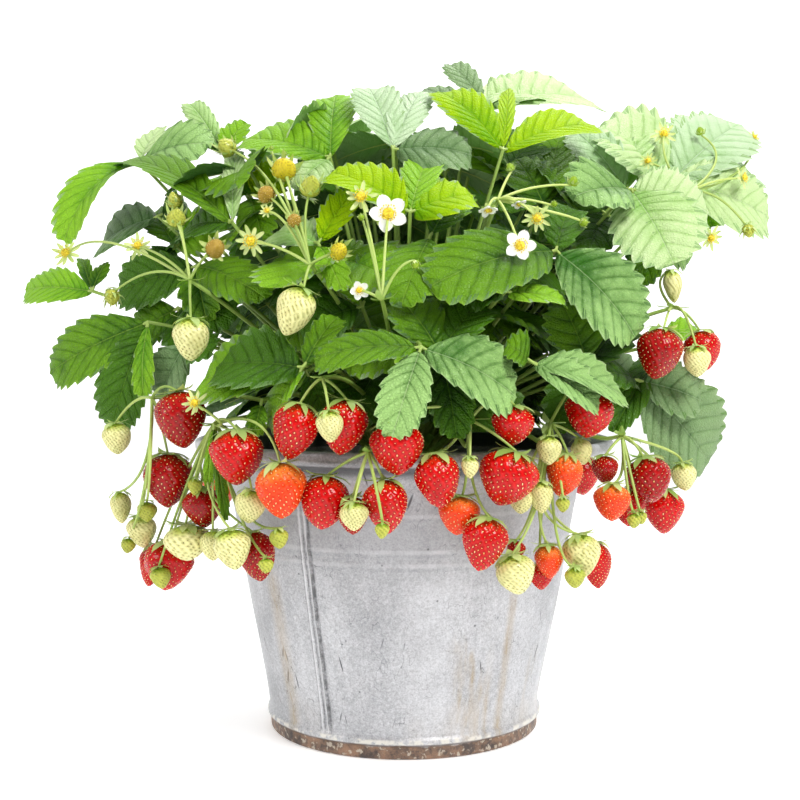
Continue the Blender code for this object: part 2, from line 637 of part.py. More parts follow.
for truss in TRUSSES:
    fork = spot(truss.photo_x, truss.photo_y, truss.behind)
    stalk = tube(truss.name, over_rim(fork) or climb(fork, truss.lift), STALK_RADIUS, STEM)
    stems = []
    heads = []
    for number, stem in enumerate(truss.twigs):
        name = f"{truss.name} stem {number}"
        if stem.bears in tops:
            end = tops[stem.bears]
        else:
            centre = spot(stem.photo_x, stem.photo_y, stem.behind)
            wide = stem.size * (centre.y - EYE.y) / EYE_PIXELS
            if stem.bears == "flower":
                high = wide * 0.5
                heads.append(
                    small_head(
                        name + " head", centre - FLOWER_BACK * (high / 2), FLOWER_BACK, wide, high, CREAM
                    )
                )
                end = centre
            else:
                high = wide * 1.1
                top = centre - DOWN * (high / 2)
                heads.append(small_head(name + " head", top, DOWN, wide, high, CREAM))
                end = top + DOWN * SINK
        reach = (end - fork).length
        middle = fork.lerp(end, 0.45) + Vector((0.0, -0.003, stem.arch * reach))
        if stem.by:
            middle = spot(*stem.by) * 2 - (fork + end) / 2
        stems.append(grow_stem(name, fork, middle, end, 3 if reach > 0.045 else 2))
    join(stalk, *reversed(stems), *heads)
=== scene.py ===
"""The looks of a strawberry plant in a galvanised steel bucket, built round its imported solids."""

import math
from collections import namedtuple

import bpy
import numpy as np
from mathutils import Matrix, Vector


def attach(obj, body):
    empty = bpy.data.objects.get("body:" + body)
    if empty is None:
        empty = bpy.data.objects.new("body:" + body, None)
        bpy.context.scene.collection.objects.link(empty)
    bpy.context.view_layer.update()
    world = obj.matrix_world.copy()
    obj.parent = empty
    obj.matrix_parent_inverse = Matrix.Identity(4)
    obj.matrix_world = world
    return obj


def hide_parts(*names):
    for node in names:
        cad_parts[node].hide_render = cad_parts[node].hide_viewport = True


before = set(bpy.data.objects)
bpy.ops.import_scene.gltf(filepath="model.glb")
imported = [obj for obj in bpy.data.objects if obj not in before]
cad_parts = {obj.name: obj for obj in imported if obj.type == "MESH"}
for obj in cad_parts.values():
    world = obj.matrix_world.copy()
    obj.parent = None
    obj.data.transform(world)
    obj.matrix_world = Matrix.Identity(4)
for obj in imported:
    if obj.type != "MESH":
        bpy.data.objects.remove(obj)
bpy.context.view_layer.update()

# Camera: it stands 0.8 m in front of the bucket's axis, a little above the rim, and looks slightly
# down. The places below are read in its picture, in pixels of 800, with a depth in millimetres
# behind the rounded front of the foliage.
EYE = Vector((-0.0024, -0.800, 0.228))
EYE_DOWN = math.radians(2.45)
PICTURE_WIDE = 800
PICTURE_MIDDLE = 400.0
LENS = 60.0
SENSOR_WIDE = 36.0
EYE_PIXELS = PICTURE_WIDE * LENS / SENSOR_WIDE
AXIS_PIXEL = 404.0
FOLIAGE_HALF_WIDE = 380.0
FOLIAGE_HIGH = 335.0

lens = bpy.data.cameras.new("front camera")
lens.lens = LENS
lens.sensor_width = SENSOR_WIDE
lens.clip_start = 0.01
camera = bpy.data.objects.new("front camera", lens)
camera.location = EYE
camera.rotation_euler = (math.pi / 2 - EYE_DOWN, 0.0, 0.0)
bpy.context.scene.collection.objects.link(camera)
bpy.context.scene.camera = camera


def face(photo_x, photo_y):
    """How far in front of the axis the rounded front of the foliage is, at a place in the view."""
    across = (photo_x - AXIS_PIXEL) / FOLIAGE_HALF_WIDE
    above = max(0.0, (PICTURE_MIDDLE - photo_y) / FOLIAGE_HIGH)
    return 0.150 - 0.170 * across**2 - 0.160 * above**1.7


def spot(photo_x, photo_y, behind):
    """The point seen at a place in the view, behind the foliage's front by so many millimetres."""
    toward = face(photo_x, photo_y) - behind / 1000.0
    rise = (PICTURE_MIDDLE - photo_y) / EYE_PIXELS
    ray = Vector(
        (
            (photo_x - PICTURE_MIDDLE) / EYE_PIXELS,
            math.cos(EYE_DOWN) + rise * math.sin(EYE_DOWN),
            rise * math.cos(EYE_DOWN) - math.sin(EYE_DOWN),
        )
    )
    return EYE + ray * ((-toward - EYE.y) / ray.y)


def scale_at(point):
    """Metres to a pixel of the view at a point."""
    return (point.y - EYE.y) / EYE_PIXELS


def polar(degrees, radius, height):
    """A point round the bucket's axis: 0 degrees is the front, 90 the right, 180 the back."""
    turn = math.radians(degrees)
    return Vector((radius * math.sin(turn), -radius * math.cos(turn), height))


def circle(count):
    """Angles evenly round a full turn."""
    return np.linspace(0, 2 * math.pi, count, endpoint=False)


def unit(rows):
    """The same directions, each with a length of one."""
    return rows / np.maximum(np.linalg.norm(rows, axis=-1, keepdims=True), 1e-9)


def laid(origin, *steps):
    """Points that lie from an origin by distances along directions."""
    points = np.array(origin, float)
    for distance, direction in steps:
        points = points + distance[..., None] * np.array(direction)
    return points


# Floor and light: a plain pale floor, a white room and three large soft lamps, as for a picture
# taken in bright shade. None of them is part of the object.
class Wire:
    """A socket of a shader, with which sums are written as with numbers."""

    def __init__(self, tree, socket):
        self.tree = tree
        self.socket = socket

    def node(self, kind, settings, values, out=0):
        """A node of any kind: its settings, then its inputs by name or place, numbers or wires."""
        made = self.tree.nodes.new(kind)
        for name, value in settings.items():
            setattr(made, name, value)
        for name, value in values.items():
            if isinstance(value, Wire):
                self.tree.links.new(value.socket, made.inputs[name])
            else:
                made.inputs[name].default_value = value
        return Wire(self.tree, made.outputs[out])

    def math(self, operation, *others):
        values = dict(enumerate((self, *others)))
        return self.node("ShaderNodeMath", {"operation": operation}, values)

    def __add__(self, other):
        return self.math("ADD", other)

    def __sub__(self, other):
        return self.math("SUBTRACT", other)

    def __mul__(self, other):
        return self.math("MULTIPLY", other)

    def __pow__(self, other):
        return self.math("POWER", other)

    def __rsub__(self, other):
        return self * -1.0 + other

    __radd__ = __add__
    __rmul__ = __mul__

    def rise(self, low, high):
        """0 below low, 1 above high and smooth between."""
        values = {"Value": self, "From Min": low, "From Max": high}
        return self.node(
            "ShaderNodeMapRange", {"interpolation_type": "SMOOTHSTEP"}, values
        )

    def fall(self, low, high):
        """1 below low, 0 above high and smooth between."""
        return 1.0 - self.rise(low, high)

    def near(self, place, inner, outer):
        """1 within the inner distance of a place and 0 beyond the outer one."""
        return (self - place).math("ABSOLUTE").fall(inner, outer)

    def blend(self, first, second):
        """The first colour where this is 0 and the second where it is 1."""
        return self.node(
            "ShaderNodeMix", {"data_type": "RGBA"}, {0: self, 6: first, 7: second}, 2
        )

    def stretched(self, up):
        """This place with its heights scaled, which draws out a texture up and down."""
        return self.node(
            "ShaderNodeVectorMath", {"operation": "MULTIPLY"}, {0: self, 1: (1.0, 1.0, up)}
        )

    def noise(self, scale, detail=2.0, roughness=0.5):
        values = {"Vector": self, "Scale": scale, "Detail": detail, "Roughness": roughness}
        return self.node("ShaderNodeTexNoise", {}, values)

    def cells(self, scale, feature="F1"):
        values = {"Vector": self, "Scale": scale}
        return self.node("ShaderNodeTexVoronoi", {"feature": feature}, values)


def ink(red, green, blue):
    """A colour of a picture, 0 to 255, as light."""
    lights = []
    for part in (red / 255, green / 255, blue / 255):
        lights.append(part / 12.92 if part <= 0.04045 else ((part + 0.055) / 1.055) ** 2.4)
    return (*lights, 1.0)


class Surface:
    """A material with a Principled shader, the place on the object and the numbers of its mesh."""

    def __init__(self, name, roughness, metallic=0.0):
        self.material = bpy.data.materials.new(name)
        self.material.use_nodes = True
        self.tree = self.material.node_tree
        self.shader = self.tree.nodes["Principled BSDF"]
        self.output = self.tree.nodes["Material Output"]
        self.set("Roughness", roughness)
        self.set("Metallic", metallic)
        coordinates = self.tree.nodes.new("ShaderNodeTexCoord")
        self.place = Wire(self.tree, coordinates.outputs["Object"])

    def set(self, name, value):
        if isinstance(value, Wire):
            self.tree.links.new(value.socket, self.shader.inputs[name])
        else:
            self.shader.inputs[name].default_value = value

    def number(self, name):
        """A number that the mesh holds at each of its points."""
        return self.place.node("ShaderNodeAttribute", {"attribute_name": name}, {}, 2)

    def directions(self):
        parts = self.tree.nodes.new("ShaderNodeSeparateXYZ")
        self.tree.links.new(self.place.socket, parts.inputs[0])
        return [Wire(self.tree, parts.outputs[index]) for index in range(3)]

    def bump(self, height, distance, strength):
        values = {"Height": height, "Distance": distance, "Strength": strength}
        self.set("Normal", self.place.node("ShaderNodeBump", {}, values))

    def glow(self, colour, share):
        """Lets some light through from behind, as a thin leaf does."""
        through = self.tree.nodes.new("ShaderNodeBsdfTranslucent")
        through.inputs["Color"].default_value = colour
        mixed = self.tree.nodes.new("ShaderNodeMixShader")
        mixed.inputs[0].default_value = share
        self.tree.links.new(self.shader.outputs[0], mixed.inputs[1])
        self.tree.links.new(through.outputs[0], mixed.inputs[2])
        self.tree.links.new(mixed.outputs[0], self.output.inputs["Surface"])


WHITE = (1.0, 1.0, 1.0, 1.0)


def plain_sheet(name, paint, light, corners, drop=0.0):
    """A flat sheet of the room, which glows a little so that it comes out pale."""
    paint.set("Emission Color", WHITE)
    paint.set("Emission Strength", light)
    mesh = bpy.data.meshes.new(name)
    mesh.from_pydata(corners, [], [(0, 1, 2, 3)])
    mesh.materials.append(paint.material)
    made = bpy.data.objects.new(name, mesh)
    made.location.z = -drop
    bpy.context.scene.collection.objects.link(made)


backdrop_paint = Surface("white backdrop", 0.8)
backdrop_tone = backdrop_paint.place.noise(1.0)
backdrop_paint.set("Base Color", backdrop_tone.blend(ink(250, 250, 250), ink(253, 253, 253)))
plain_sheet("backdrop", backdrop_paint, 0.60, [(-20, 6, -1), (20, 6, -1), (20, 6, 12), (-20, 6, 12)])
floor_paint = Surface("pale floor", 0.6)
floor_tone = floor_paint.place.noise(3.0)
floor_paint.set("Base Color", floor_tone.blend(ink(246, 246, 246), ink(250, 250, 250)))
floor_corners = [(-30, -3, 0), (30, -3, 0), (30, 60, 0), (-30, 60, 0)]
plain_sheet("floor", floor_paint, 0.30, floor_corners, 0.0002)

world = bpy.data.worlds.new("white room")
world.use_nodes = True
room = world.node_tree.nodes["Background"]
room.inputs["Color"].default_value = WHITE
room.inputs["Strength"].default_value = 0.50
bpy.context.scene.world = world
bpy.context.scene.view_settings.view_transform = "Standard"

LAMPS = (
    ("key lamp", (0.60, -0.80, 1.15), 0.55, 17.0),
    ("top lamp", (0.25, 0.50, 1.20), 0.70, 7.0),
    ("side lamp", (-1.10, -0.60, 0.70), 0.60, 5.0),
)
LIT_POINT = Vector((0.0, 0.0, 0.22))
for name, place, size, power in LAMPS:
    light = bpy.data.lights.new(name, "AREA")
    light.shape = "DISK"
    light.size = size
    light.energy = power
    lamp = bpy.data.objects.new(name, light)
    lamp.location = place
    aim = LIT_POINT - Vector(place)
    lamp.rotation_euler = aim.to_track_quat("-Z", "Y").to_euler()
    bpy.context.scene.collection.objects.link(lamp)

# Bucket: galvanised sheet steel, with a flared and rolled rim, faint swaged bands, a folded seam up
# its wall and a crimped foot ring. The zinc is mottled and scratched, and the foot rusts. The
# colour also has painted light: shade under the foliage and below the rim, highlights and shade
# on the bands, and highlights along the seam's edges.
RIM_RADIUS = 0.124
RIM_TOP = 0.172
WALL_TOP_RADIUS = 0.1062
WALL_FOOT_RADIUS = 0.0800
WALL_HIGH = 0.1560
WALL_LOW = 0.0125
WALL_SLOPE = 0.1826
FOOT_HEIGHT = 0.0065
SEAM_ANGLE = math.radians(-32.5)
BANDS = ((0.1360, 0.00030), (0.1165, 0.00035), (0.1090, 0.00035))


class Pile:
    """Gathers grids of points into one mesh, with a material for each and numbers for the shaders."""

    def __init__(self, *names):
        self.names = names
        self.points = []
        self.numbers = []
        self.faces = []
        self.slots = []
        self.count = 0

    def grid(self, points, slot, around=False, flip=False, **numbers):
        """A sheet of points in rows; around joins its last column to its first."""
        rows, columns = points.shape[:2]
        index = np.arange(rows * columns).reshape(rows, columns) + self.count
        if around:
            index = np.concatenate([index, index[:, :1]], axis=1)
        corners = [index[:-1, :-1], index[:-1, 1:], index[1:, 1:], index[1:, :-1]]
        faces = np.stack(corners, axis=-1).reshape(-1, 4)
        self.faces.append(faces[:, ::-1] if flip else faces)
        self.slots.append(np.full(len(faces), slot))
        self.points.append(points.reshape(-1, 3))
        held = []
        for name in self.names:
            value = np.broadcast_to(numbers.get(name, 0.0), (rows, columns))
            held.append(np.asarray(value, float).reshape(-1))
        self.numbers.append(np.stack(held, axis=-1) if held else np.zeros((rows * columns, 0)))
        self.count += rows * columns

    def loose(self, corners, slot):
        """Separate four-sided faces, given as their corners."""
        count = len(corners) * 4
        self.faces.append(np.arange(count).reshape(-1, 4) + self.count)
        self.slots.append(np.full(len(corners), slot))
        self.points.append(corners.reshape(-1, 3))
        self.numbers.append(np.zeros((count, len(self.names))))
        self.count += count

    def finish(self, name, surfaces, slot, *nodes):
        """Makes the object, which rides on the plant and stands for the nodes."""
        points = np.concatenate(self.points)
        faces = np.concatenate(self.faces)
        mesh = bpy.data.meshes.new(name)
        mesh.vertices.add(len(points))
        mesh.vertices.foreach_set("co", points.astype(np.float32).ravel())
        mesh.loops.add(faces.size)
        mesh.loops.foreach_set("vertex_index", faces.astype(np.int32).ravel())
        mesh.polygons.add(len(faces))
        mesh.polygons.foreach_set("loop_start", np.arange(0, faces.size, 4, dtype=np.int32))
        mesh.update(calc_edges=True)
        mesh.polygons.foreach_set("material_index", np.concatenate(self.slots).astype(np.int32))
        mesh.polygons.foreach_set("use_smooth", np.ones(len(faces), bool))
        numbers = np.concatenate(self.numbers)
        for column, word in enumerate(self.names):
            held = mesh.attributes.new(word, "FLOAT", "POINT")
            held.data.foreach_set("value", numbers[:, column].astype(np.float32))
        for surface in surfaces:
            mesh.materials.append(surface.material)
        mesh.validate()
        made = bpy.data.objects.new(name, mesh)
        bpy.context.scene.collection.objects.link(made)
        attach(made, "root")
        if nodes:
            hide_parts(*nodes)


def rounded(corners, radius, count=4):
    """A line through (radius, height) corners with each inner corner rounded off."""
    corners = [np.array(corner, float) for corner in corners]
    line = [corners[0]]
    for before, corner, after in zip(corners, corners[1:], corners[2:]):
        reach = min(
            radius,
            0.45 * np.linalg.norm(corner - before),
            0.45 * np.linalg.norm(after - corner),
        )
        start = corner + (before - corner) / np.linalg.norm(before - corner) * reach
        end = corner + (after - corner) / np.linalg.norm(after - corner) * reach
        for index in range(count + 1):
            t = index / count
            line.append(start * (1 - t) ** 2 + corner * 2 * t * (1 - t) + end * t**2)
    line.append(corners[-1])
    return np.array(line)


rim_line = rounded(
    (
        (0.0900, 0.1480),
        (WALL_TOP_RADIUS - 0.0016, 0.1570),
        (WALL_TOP_RADIUS + 0.0010, 0.1624),
        (RIM_RADIUS - 0.0072, 0.1700),
        (RIM_RADIUS - 0.0030, RIM_TOP + 0.0002),
        (RIM_RADIUS + 0.0002, RIM_TOP - 0.0010),
        (RIM_RADIUS + 0.0002, RIM_TOP - 0.0058),
        (RIM_RADIUS - 0.0030, RIM_TOP - 0.0074),
        (RIM_RADIUS - 0.0058, RIM_TOP - 0.0064),
        (WALL_TOP_RADIUS + 0.0032, 0.1610),
        (WALL_TOP_RADIUS, WALL_HIGH),
        (WALL_TOP_RADIUS - 0.0008, 0.1520),
    ),
    0.0022,
)
foot_line = rounded(
    (
        (WALL_FOOT_RADIUS + 0.0012, 0.0180),
        (WALL_FOOT_RADIUS + 0.0004, 0.0128),
        (WALL_FOOT_RADIUS + 0.0020, 0.0108),
        (WALL_FOOT_RADIUS + 0.0020, 0.0086),
        (WALL_FOOT_RADIUS + 0.0002, 0.0074),
        (WALL_FOOT_RADIUS, 0.0008),
        (WALL_FOOT_RADIUS - 0.0008, 0.0),
        (WALL_FOOT_RADIUS - 0.0028, 0.0),
        (WALL_FOOT_RADIUS - 0.0034, FOOT_HEIGHT),
        (0.0600, FOOT_HEIGHT),
        (0.0, FOOT_HEIGHT),
    ),
    0.0008,
    3,
)
wall_heights = np.linspace(0.1510, 0.0186, 80)
wall_share = (wall_heights - WALL_LOW) / (WALL_HIGH - WALL_LOW)
wall_radius = WALL_FOOT_RADIUS + (WALL_TOP_RADIUS - WALL_FOOT_RADIUS) * wall_share
for band_height, band_raise in BANDS:
    wall_radius += band_raise * np.exp(-(((wall_heights - band_height) / 0.0012) ** 2))
wall_line = np.stack([wall_radius, wall_heights], axis=-1)
bucket_line = np.concatenate([rim_line, wall_line, foot_line])

even = np.linspace(-math.pi, math.pi, 140, endpoint=False)
close = SEAM_ANGLE + np.linspace(-0.050, 0.050, 33)
turns = np.unique(np.concatenate([even[np.abs(even - SEAM_ANGLE) > 0.055], close]))
radii, heights = bucket_line[:, :1], bucket_line[:, 1:]
on_wall = np.clip((heights - 0.0130) / 0.002, 0, 1) * np.clip((0.1580 - heights) / 0.002, 0, 1)
after_rim = (np.arange(len(bucket_line)) > 38)[:, None]
jog = 0.0006 * np.tanh((heights - 0.1235) / 0.0015)
seam_offset = (turns[None, :] - SEAM_ANGLE) * np.maximum(radii, 0.02) + jog
seam_raise = np.interp(
    seam_offset,
    (-0.0036, -0.0031, -0.0022, -0.0008, -0.0003, 0.0002, 0.0009, 0.0024, 0.0030, 0.0034),
    (0.0, 0.0009, 0.0011, 0.0010, 0.0003, 0.0003, 0.0012, 0.0012, -0.0002, 0.0),
)
dents = 0.00045 * np.sin(3 * turns + 1.0) * np.sin(heights * 42.0 + 0.6)
dents = dents + 0.00025 * np.sin(7 * turns + heights * 60.0)
shell = radii + (seam_raise * after_rim + dents) * on_wall
bucket_points = np.stack(
    [shell * np.sin(turns), -shell * np.cos(turns), np.broadcast_to(heights, shell.shape)],
    axis=-1,
)

zinc = Surface("galvanised steel", 0.5, 0.3)
east, north, height = zinc.directions()
turn = east.math("ARCTAN2", north * -1.0)
spangle = zinc.place.cells(260.0, "SMOOTH_F1")
cloud = zinc.place.noise(14.0, 4.0, 0.65)
speckle = zinc.place.noise(520.0, 3.0, 0.7)
upright = zinc.place.stretched(0.06)
streaks = upright.noise(120.0, 3.0, 0.6)
fine_grain = zinc.place.noise(1100.0, 2.0, 0.6)
patches = zinc.place.noise(34.0, 3.0, 0.55)
mottle = cloud * 0.50 + patches * 0.30 + speckle * 0.45 + fine_grain * 0.50 + streaks * 0.21
tone = mottle.rise(0.72, 1.26).blend(ink(148, 149, 152), ink(210, 211, 214))
wall_shade = height.rise(0.085, 0.125) * height.fall(0.140, 0.156) * cloud.rise(0.2, 0.7)
tone = (wall_shade * 0.55).blend(tone, ink(124, 125, 127))
scratch_field = zinc.place.stretched(0.45).noise(190.0, 1.0, 0.4)
scratches = scratch_field.near(0.5, 0.0, 0.010) * zinc.place.noise(75.0).rise(0.52, 0.60)
nicks = zinc.place.cells(150.0).fall(0.05, 0.13) * zinc.place.noise(48.0).rise(0.56, 0.62)
arc = turn * 0.093
steep = zinc.place.node("ShaderNodeCombineXYZ", {}, {0: arc - height * 0.32, 2: height * 0.14})
slanted = zinc.place.node("ShaderNodeCombineXYZ", {}, {0: arc + height * 0.20, 2: height * 0.10})
dashes = steep.cells(125.0).fall(0.040, 0.115) + slanted.cells(180.0).fall(0.035, 0.110)
dashes = dashes * zinc.place.noise(36.0).rise(0.38, 0.48)
marks = (scratches * 0.60 + nicks * 0.75 + dashes).math("MINIMUM", 1.0)
tone = marks.blend(tone, ink(84, 86, 89))
# Painted highlight along the crest of each swaged band and painted shade in the groove just below it, in
# patches.
band_light_patches = cloud.rise(0.30, 0.70)
for band_height, band_raise in BANDS:
    crest = height.near(band_height + 0.0006, 0.0004, 0.0016)
    trough = height.near(band_height - 0.0018, 0.0003, 0.0012)
    tone = (crest * band_light_patches * 0.32).blend(tone, ink(222, 223, 226))
    tone = (trough * band_light_patches * 0.26).blend(tone, ink(120, 122, 126))
seam_line = ((height - WALL_LOW) * WALL_SLOPE + WALL_FOOT_RADIUS) * (turn - SEAM_ANGLE)
seam_line = seam_line + (zinc.place.noise(90.0, 3.0) - 0.5) * 0.0010
seam_patchiness = zinc.place.noise(210.0, 4.0, 0.7).rise(0.38, 0.60)
seam_length = height.fall(0.152, 0.158) * height.rise(0.010, 0.014)
# Darker along the seam, in its slot and in a strip to each side of it, unevenly.
beside_seam = seam_line.near(0.0029, 0.0004, 0.0013)
in_seam = seam_line.near(-0.0002, 0.0001, 0.0005)
left_of_seam = seam_line.near(-0.0036, 0.0001, 0.0006)
seam_darkening = (beside_seam * 0.75 + in_seam * 0.55 + left_of_seam * 0.35).math("MINIMUM", 1.0)
seam_darkening = seam_darkening * seam_length
# Painted highlights along both edges of the seam's fold.
seam_highlight = seam_line.near(0.0016, 0.0002, 0.0007) + seam_line.near(-0.0018, 0.0002, 0.0008)
seam_highlight = seam_highlight * seam_length
tone = (seam_highlight * 0.55).math("MINIMUM", 1.0).blend(tone, ink(222, 223, 226))
tone = (seam_darkening * (seam_patchiness * 0.7 + 0.4)).math("MINIMUM", 0.95).blend(tone, ink(74, 76, 77))


def streak(angle, spread, low, high):
    """A patch of the wall: round an angle, and between two heights."""
    across = turn.near(math.radians(angle), 0.0, math.radians(spread))
    return across * height.rise(low - 0.015, low) * height.fall(high - 0.02, high)


runs = upright.noise(170.0, 2.0, 0.6).rise(0.40, 0.70)
thin = upright.noise(420.0, 2.0, 0.6).rise(0.50, 0.66)
rust = (
    streak(-50.5, 6.0, 0.0, 0.110) * 1.2
    + streak(40.0, 3.2, 0.0, 0.100) * 1.3
    + streak(25.0, 12.0, 0.0, 0.080) * runs * 1.3
    + streak(33.0, 2.0, 0.0, 0.050) * 0.9
    + streak(58.0, 6.0, 0.0, 0.060) * runs
    + streak(150.0, 9.0, 0.0, 0.070) * runs
    + streak(-130.0, 12.0, 0.0, 0.060) * runs
) * (thin * 0.35 + 0.45)
low_stain = height.fall(0.010, 0.036) * cloud.rise(0.45, 0.75) * 0.25
rust = (rust * 0.58 + low_stain).math("MINIMUM", 1.0)
tone = rust.blend(tone, ink(168, 146, 106))
ragged = (zinc.place.noise(70.0, 4.0, 0.7) - 0.5) * 0.0060
foot_rust = (height + ragged).fall(0.0070, 0.0086)
foot_cloud = zinc.place.noise(110.0, 5.0, 0.75)
foot_tone = foot_cloud.rise(0.34, 0.66).blend(ink(54, 40, 32), ink(142, 106, 78))
foot_tone = zinc.place.noise(330.0, 3.0).rise(0.56, 0.66).blend(foot_tone, ink(176, 164, 146))
tone = (foot_rust * 0.95).blend(tone, foot_tone)
crust = height.near(0.0100, 0.0006, 0.0018) * zinc.place.noise(220.0, 3.0).rise(0.42, 0.56)
tone = (crust * 0.8).blend(tone, ink(222, 219, 208))
under_bead = height.near(0.0078, 0.0003, 0.0010)
tone = (under_bead * 0.6).blend(tone, ink(84, 66, 52))
# Painted shadow of the rolled rim on the wall just below it.
distance = (east * east + north * north) ** 0.5
rim_shadow = distance.rise(0.1052, 0.1056) * distance.fall(0.1125, 0.1150)
rim_shadow = rim_shadow * height.rise(0.1545, 0.1605)
tone = (rim_shadow * 0.85).blend(tone, ink(58, 60, 62))
zinc.set("Base Color", tone)
zinc.set("Roughness", cloud * -0.12 + rust * 0.2 + 0.54)
zinc.set("Metallic", 0.34 - (rust + foot_rust).math("MINIMUM", 1.0) * 0.34)
zinc.bump(spangle * 0.2 + speckle * 0.4 - marks * 0.8 + rust * 0.4, 0.0005, 0.45)
pail = Pile()
pail.grid(bucket_points, 0, around=True, flip=True)
pail.finish("bucket_body", [zinc], "galvanised_steel", "bucket")

# Potting soil: dark crumbs of peat, lumpy and slightly mounded, pressed up against the wall.
EARTH_TOP = 0.1560


def lumps(x, y, scale, seed):
    """Smooth bumps between -1 and 1 over a plane, from a few crossed waves."""
    rng = np.random.default_rng(seed)
    total = np.zeros(np.broadcast(x, y).shape)
    for index in range(9):
        way = rng.uniform(0, 2 * math.pi)
        pace = scale * rng.uniform(0.6, 1.7)
        total = total + np.sin((x * math.cos(way) + y * math.sin(way)) * pace + rng.uniform(0, 6.3))
    return total / 4.0


earth = Surface("potting soil", 0.95)
clods = earth.place.noise(260.0, 4.0, 0.7)
crumbs = earth.place.cells(420.0)
earth_tone = (clods * 0.7 + crumbs * 0.5).rise(0.3, 0.8)
earth.set("Base Color", earth_tone.blend(ink(38, 28, 22), ink(92, 72, 56)))
earth.bump(clods + crumbs * 0.6, 0.0015, 0.9)
rings = np.linspace(0.0, 0.1006, 48)[:, None]
spokes = circle(120)[None, :]
soil_x, soil_y = rings * np.sin(spokes), rings * np.cos(spokes)
mound = EARTH_TOP - 0.0052 * (rings / 0.1) ** 2 - 0.0002
rough = lumps(soil_x, soil_y, 420.0, 3) * 0.0007 + lumps(soil_x, soil_y, 1300.0, 4) * 0.0005
bed_points = np.stack([soil_x, soil_y, mound + rough], axis=-1)
bed = Pile()
bed.grid(bed_points, 0, around=True, flip=True)
skirt = np.stack([bed_points[-1], bed_points[-1] * (0.985, 0.985, 1) - (0, 0, 0.012)])
bed.grid(skirt, 0, around=True, flip=True)
bed.finish("soil_bed", [earth], "potting_soil", "potting_soil")

# Stems: the crown, the leaf stalks and the trusses are living green stem, some of it paler and
# yellower, with a finely uneven skin.
CROWN_CENTRE = Vector((0.0, 0.0, 0.1500))
CROWN_RADIUS = 0.030

stem_green = Surface("green stem", 0.42)
tint = stem_green.number("tint")
stem_spots = stem_green.place.noise(70.0, 3.0)
stem_base = tint.blend(ink(104, 152, 36), ink(208, 224, 128))
stem_base = (stem_spots.rise(0.5, 0.8) * 0.45).blend(stem_base, ink(150, 160, 70))
stem_green.set("Base Color", stem_base)
stem_green.bump(stem_green.place.noise(900.0, 2.0), 0.0003, 0.5)
stem_green.glow(ink(190, 215, 90), 0.18)


def bow(start, middle, end, count):
    """Points along a curve that starts and ends at the given points and leans to the middle one."""
    places = []
    for index in range(count + 1):
        t = index / count
        places.append(start * (1 - t) ** 2 + middle * (2 * t * (1 - t)) + end * t**2)
    return places


def smooth_line(points, count):
    """A smooth line through all the points."""
    points = [points[0] * 2 - points[1], *points, points[-1] * 2 - points[-2]]
    line = []
    for index in range(1, len(points) - 2):
        a, b, c, d = points[index - 1 : index + 3]
        for step in range(count):
            t = step / count
            line.append(
                0.5
                * (
                    b * 2
                    + (c - a) * t
                    + (a * 2 - b * 5 + c * 4 - d) * t**2
                    + (b * 3 - a - c * 3 + d) * t**3
                )
            )
    line.append(points[-2])
    return line


def stem(pile, places, start_radius, end_radius, slot, tint, sides=8):
    """A round tapered stem along the places."""
    places = np.array(places, float)
    ahead = unit(np.gradient(places, axis=0))
    across = unit(np.cross(ahead, (0.31, 0.87, 0.38)))
    beside = np.cross(ahead, across)
    turn = circle(sides)[None, :, None]
    wide = np.linspace(start_radius, end_radius, len(places))[:, None, None]
    ring = across[:, None] * np.cos(turn) + beside[:, None] * np.sin(turn)
    pile.grid(places[:, None] + ring * wide, slot, around=True, tint=tint)


def sprout(target):
    """Where a stem that heads for the target leaves the crown."""
    heading = (target - CROWN_CENTRE).normalized()
    heading.z = max(heading.z, 0.42)
    heading.normalize()
    return CROWN_CENTRE + heading * (CROWN_RADIUS - 0.004)


def climb(end, lift, count=14):
    """Points of a stem from the crown that rises and then leans out to its end."""
    level = Vector((end.x, end.y, 0.0)).length
    middle = CROWN_CENTRE.lerp(end, 0.55) + Vector((0.0, 0.0, lift * level))
    return bow(sprout(middle), middle, end, count)


crown_turns = circle(48)[None, :]
crown_falls = np.radians(np.linspace(0, 80, 22))[:, None]
crown_wide = CROWN_RADIUS * (0.97 + 0.05 * np.sin(9 * crown_turns + 3 * crown_falls))
crown_points = np.stack(
    [
        crown_wide * np.sin(crown_falls) * np.sin(crown_turns),
        crown_wide * np.sin(crown_falls) * np.cos(crown_turns),
        CROWN_CENTRE.z + crown_wide * np.cos(crown_falls) - 0.001,
    ],
    axis=-1,
)
heart = Pile("tint")
heart.grid(crown_points, 0, around=True, flip=True, tint=0.1)
heart.finish("crown_knot", [stem_green], "green_stem", "crown")
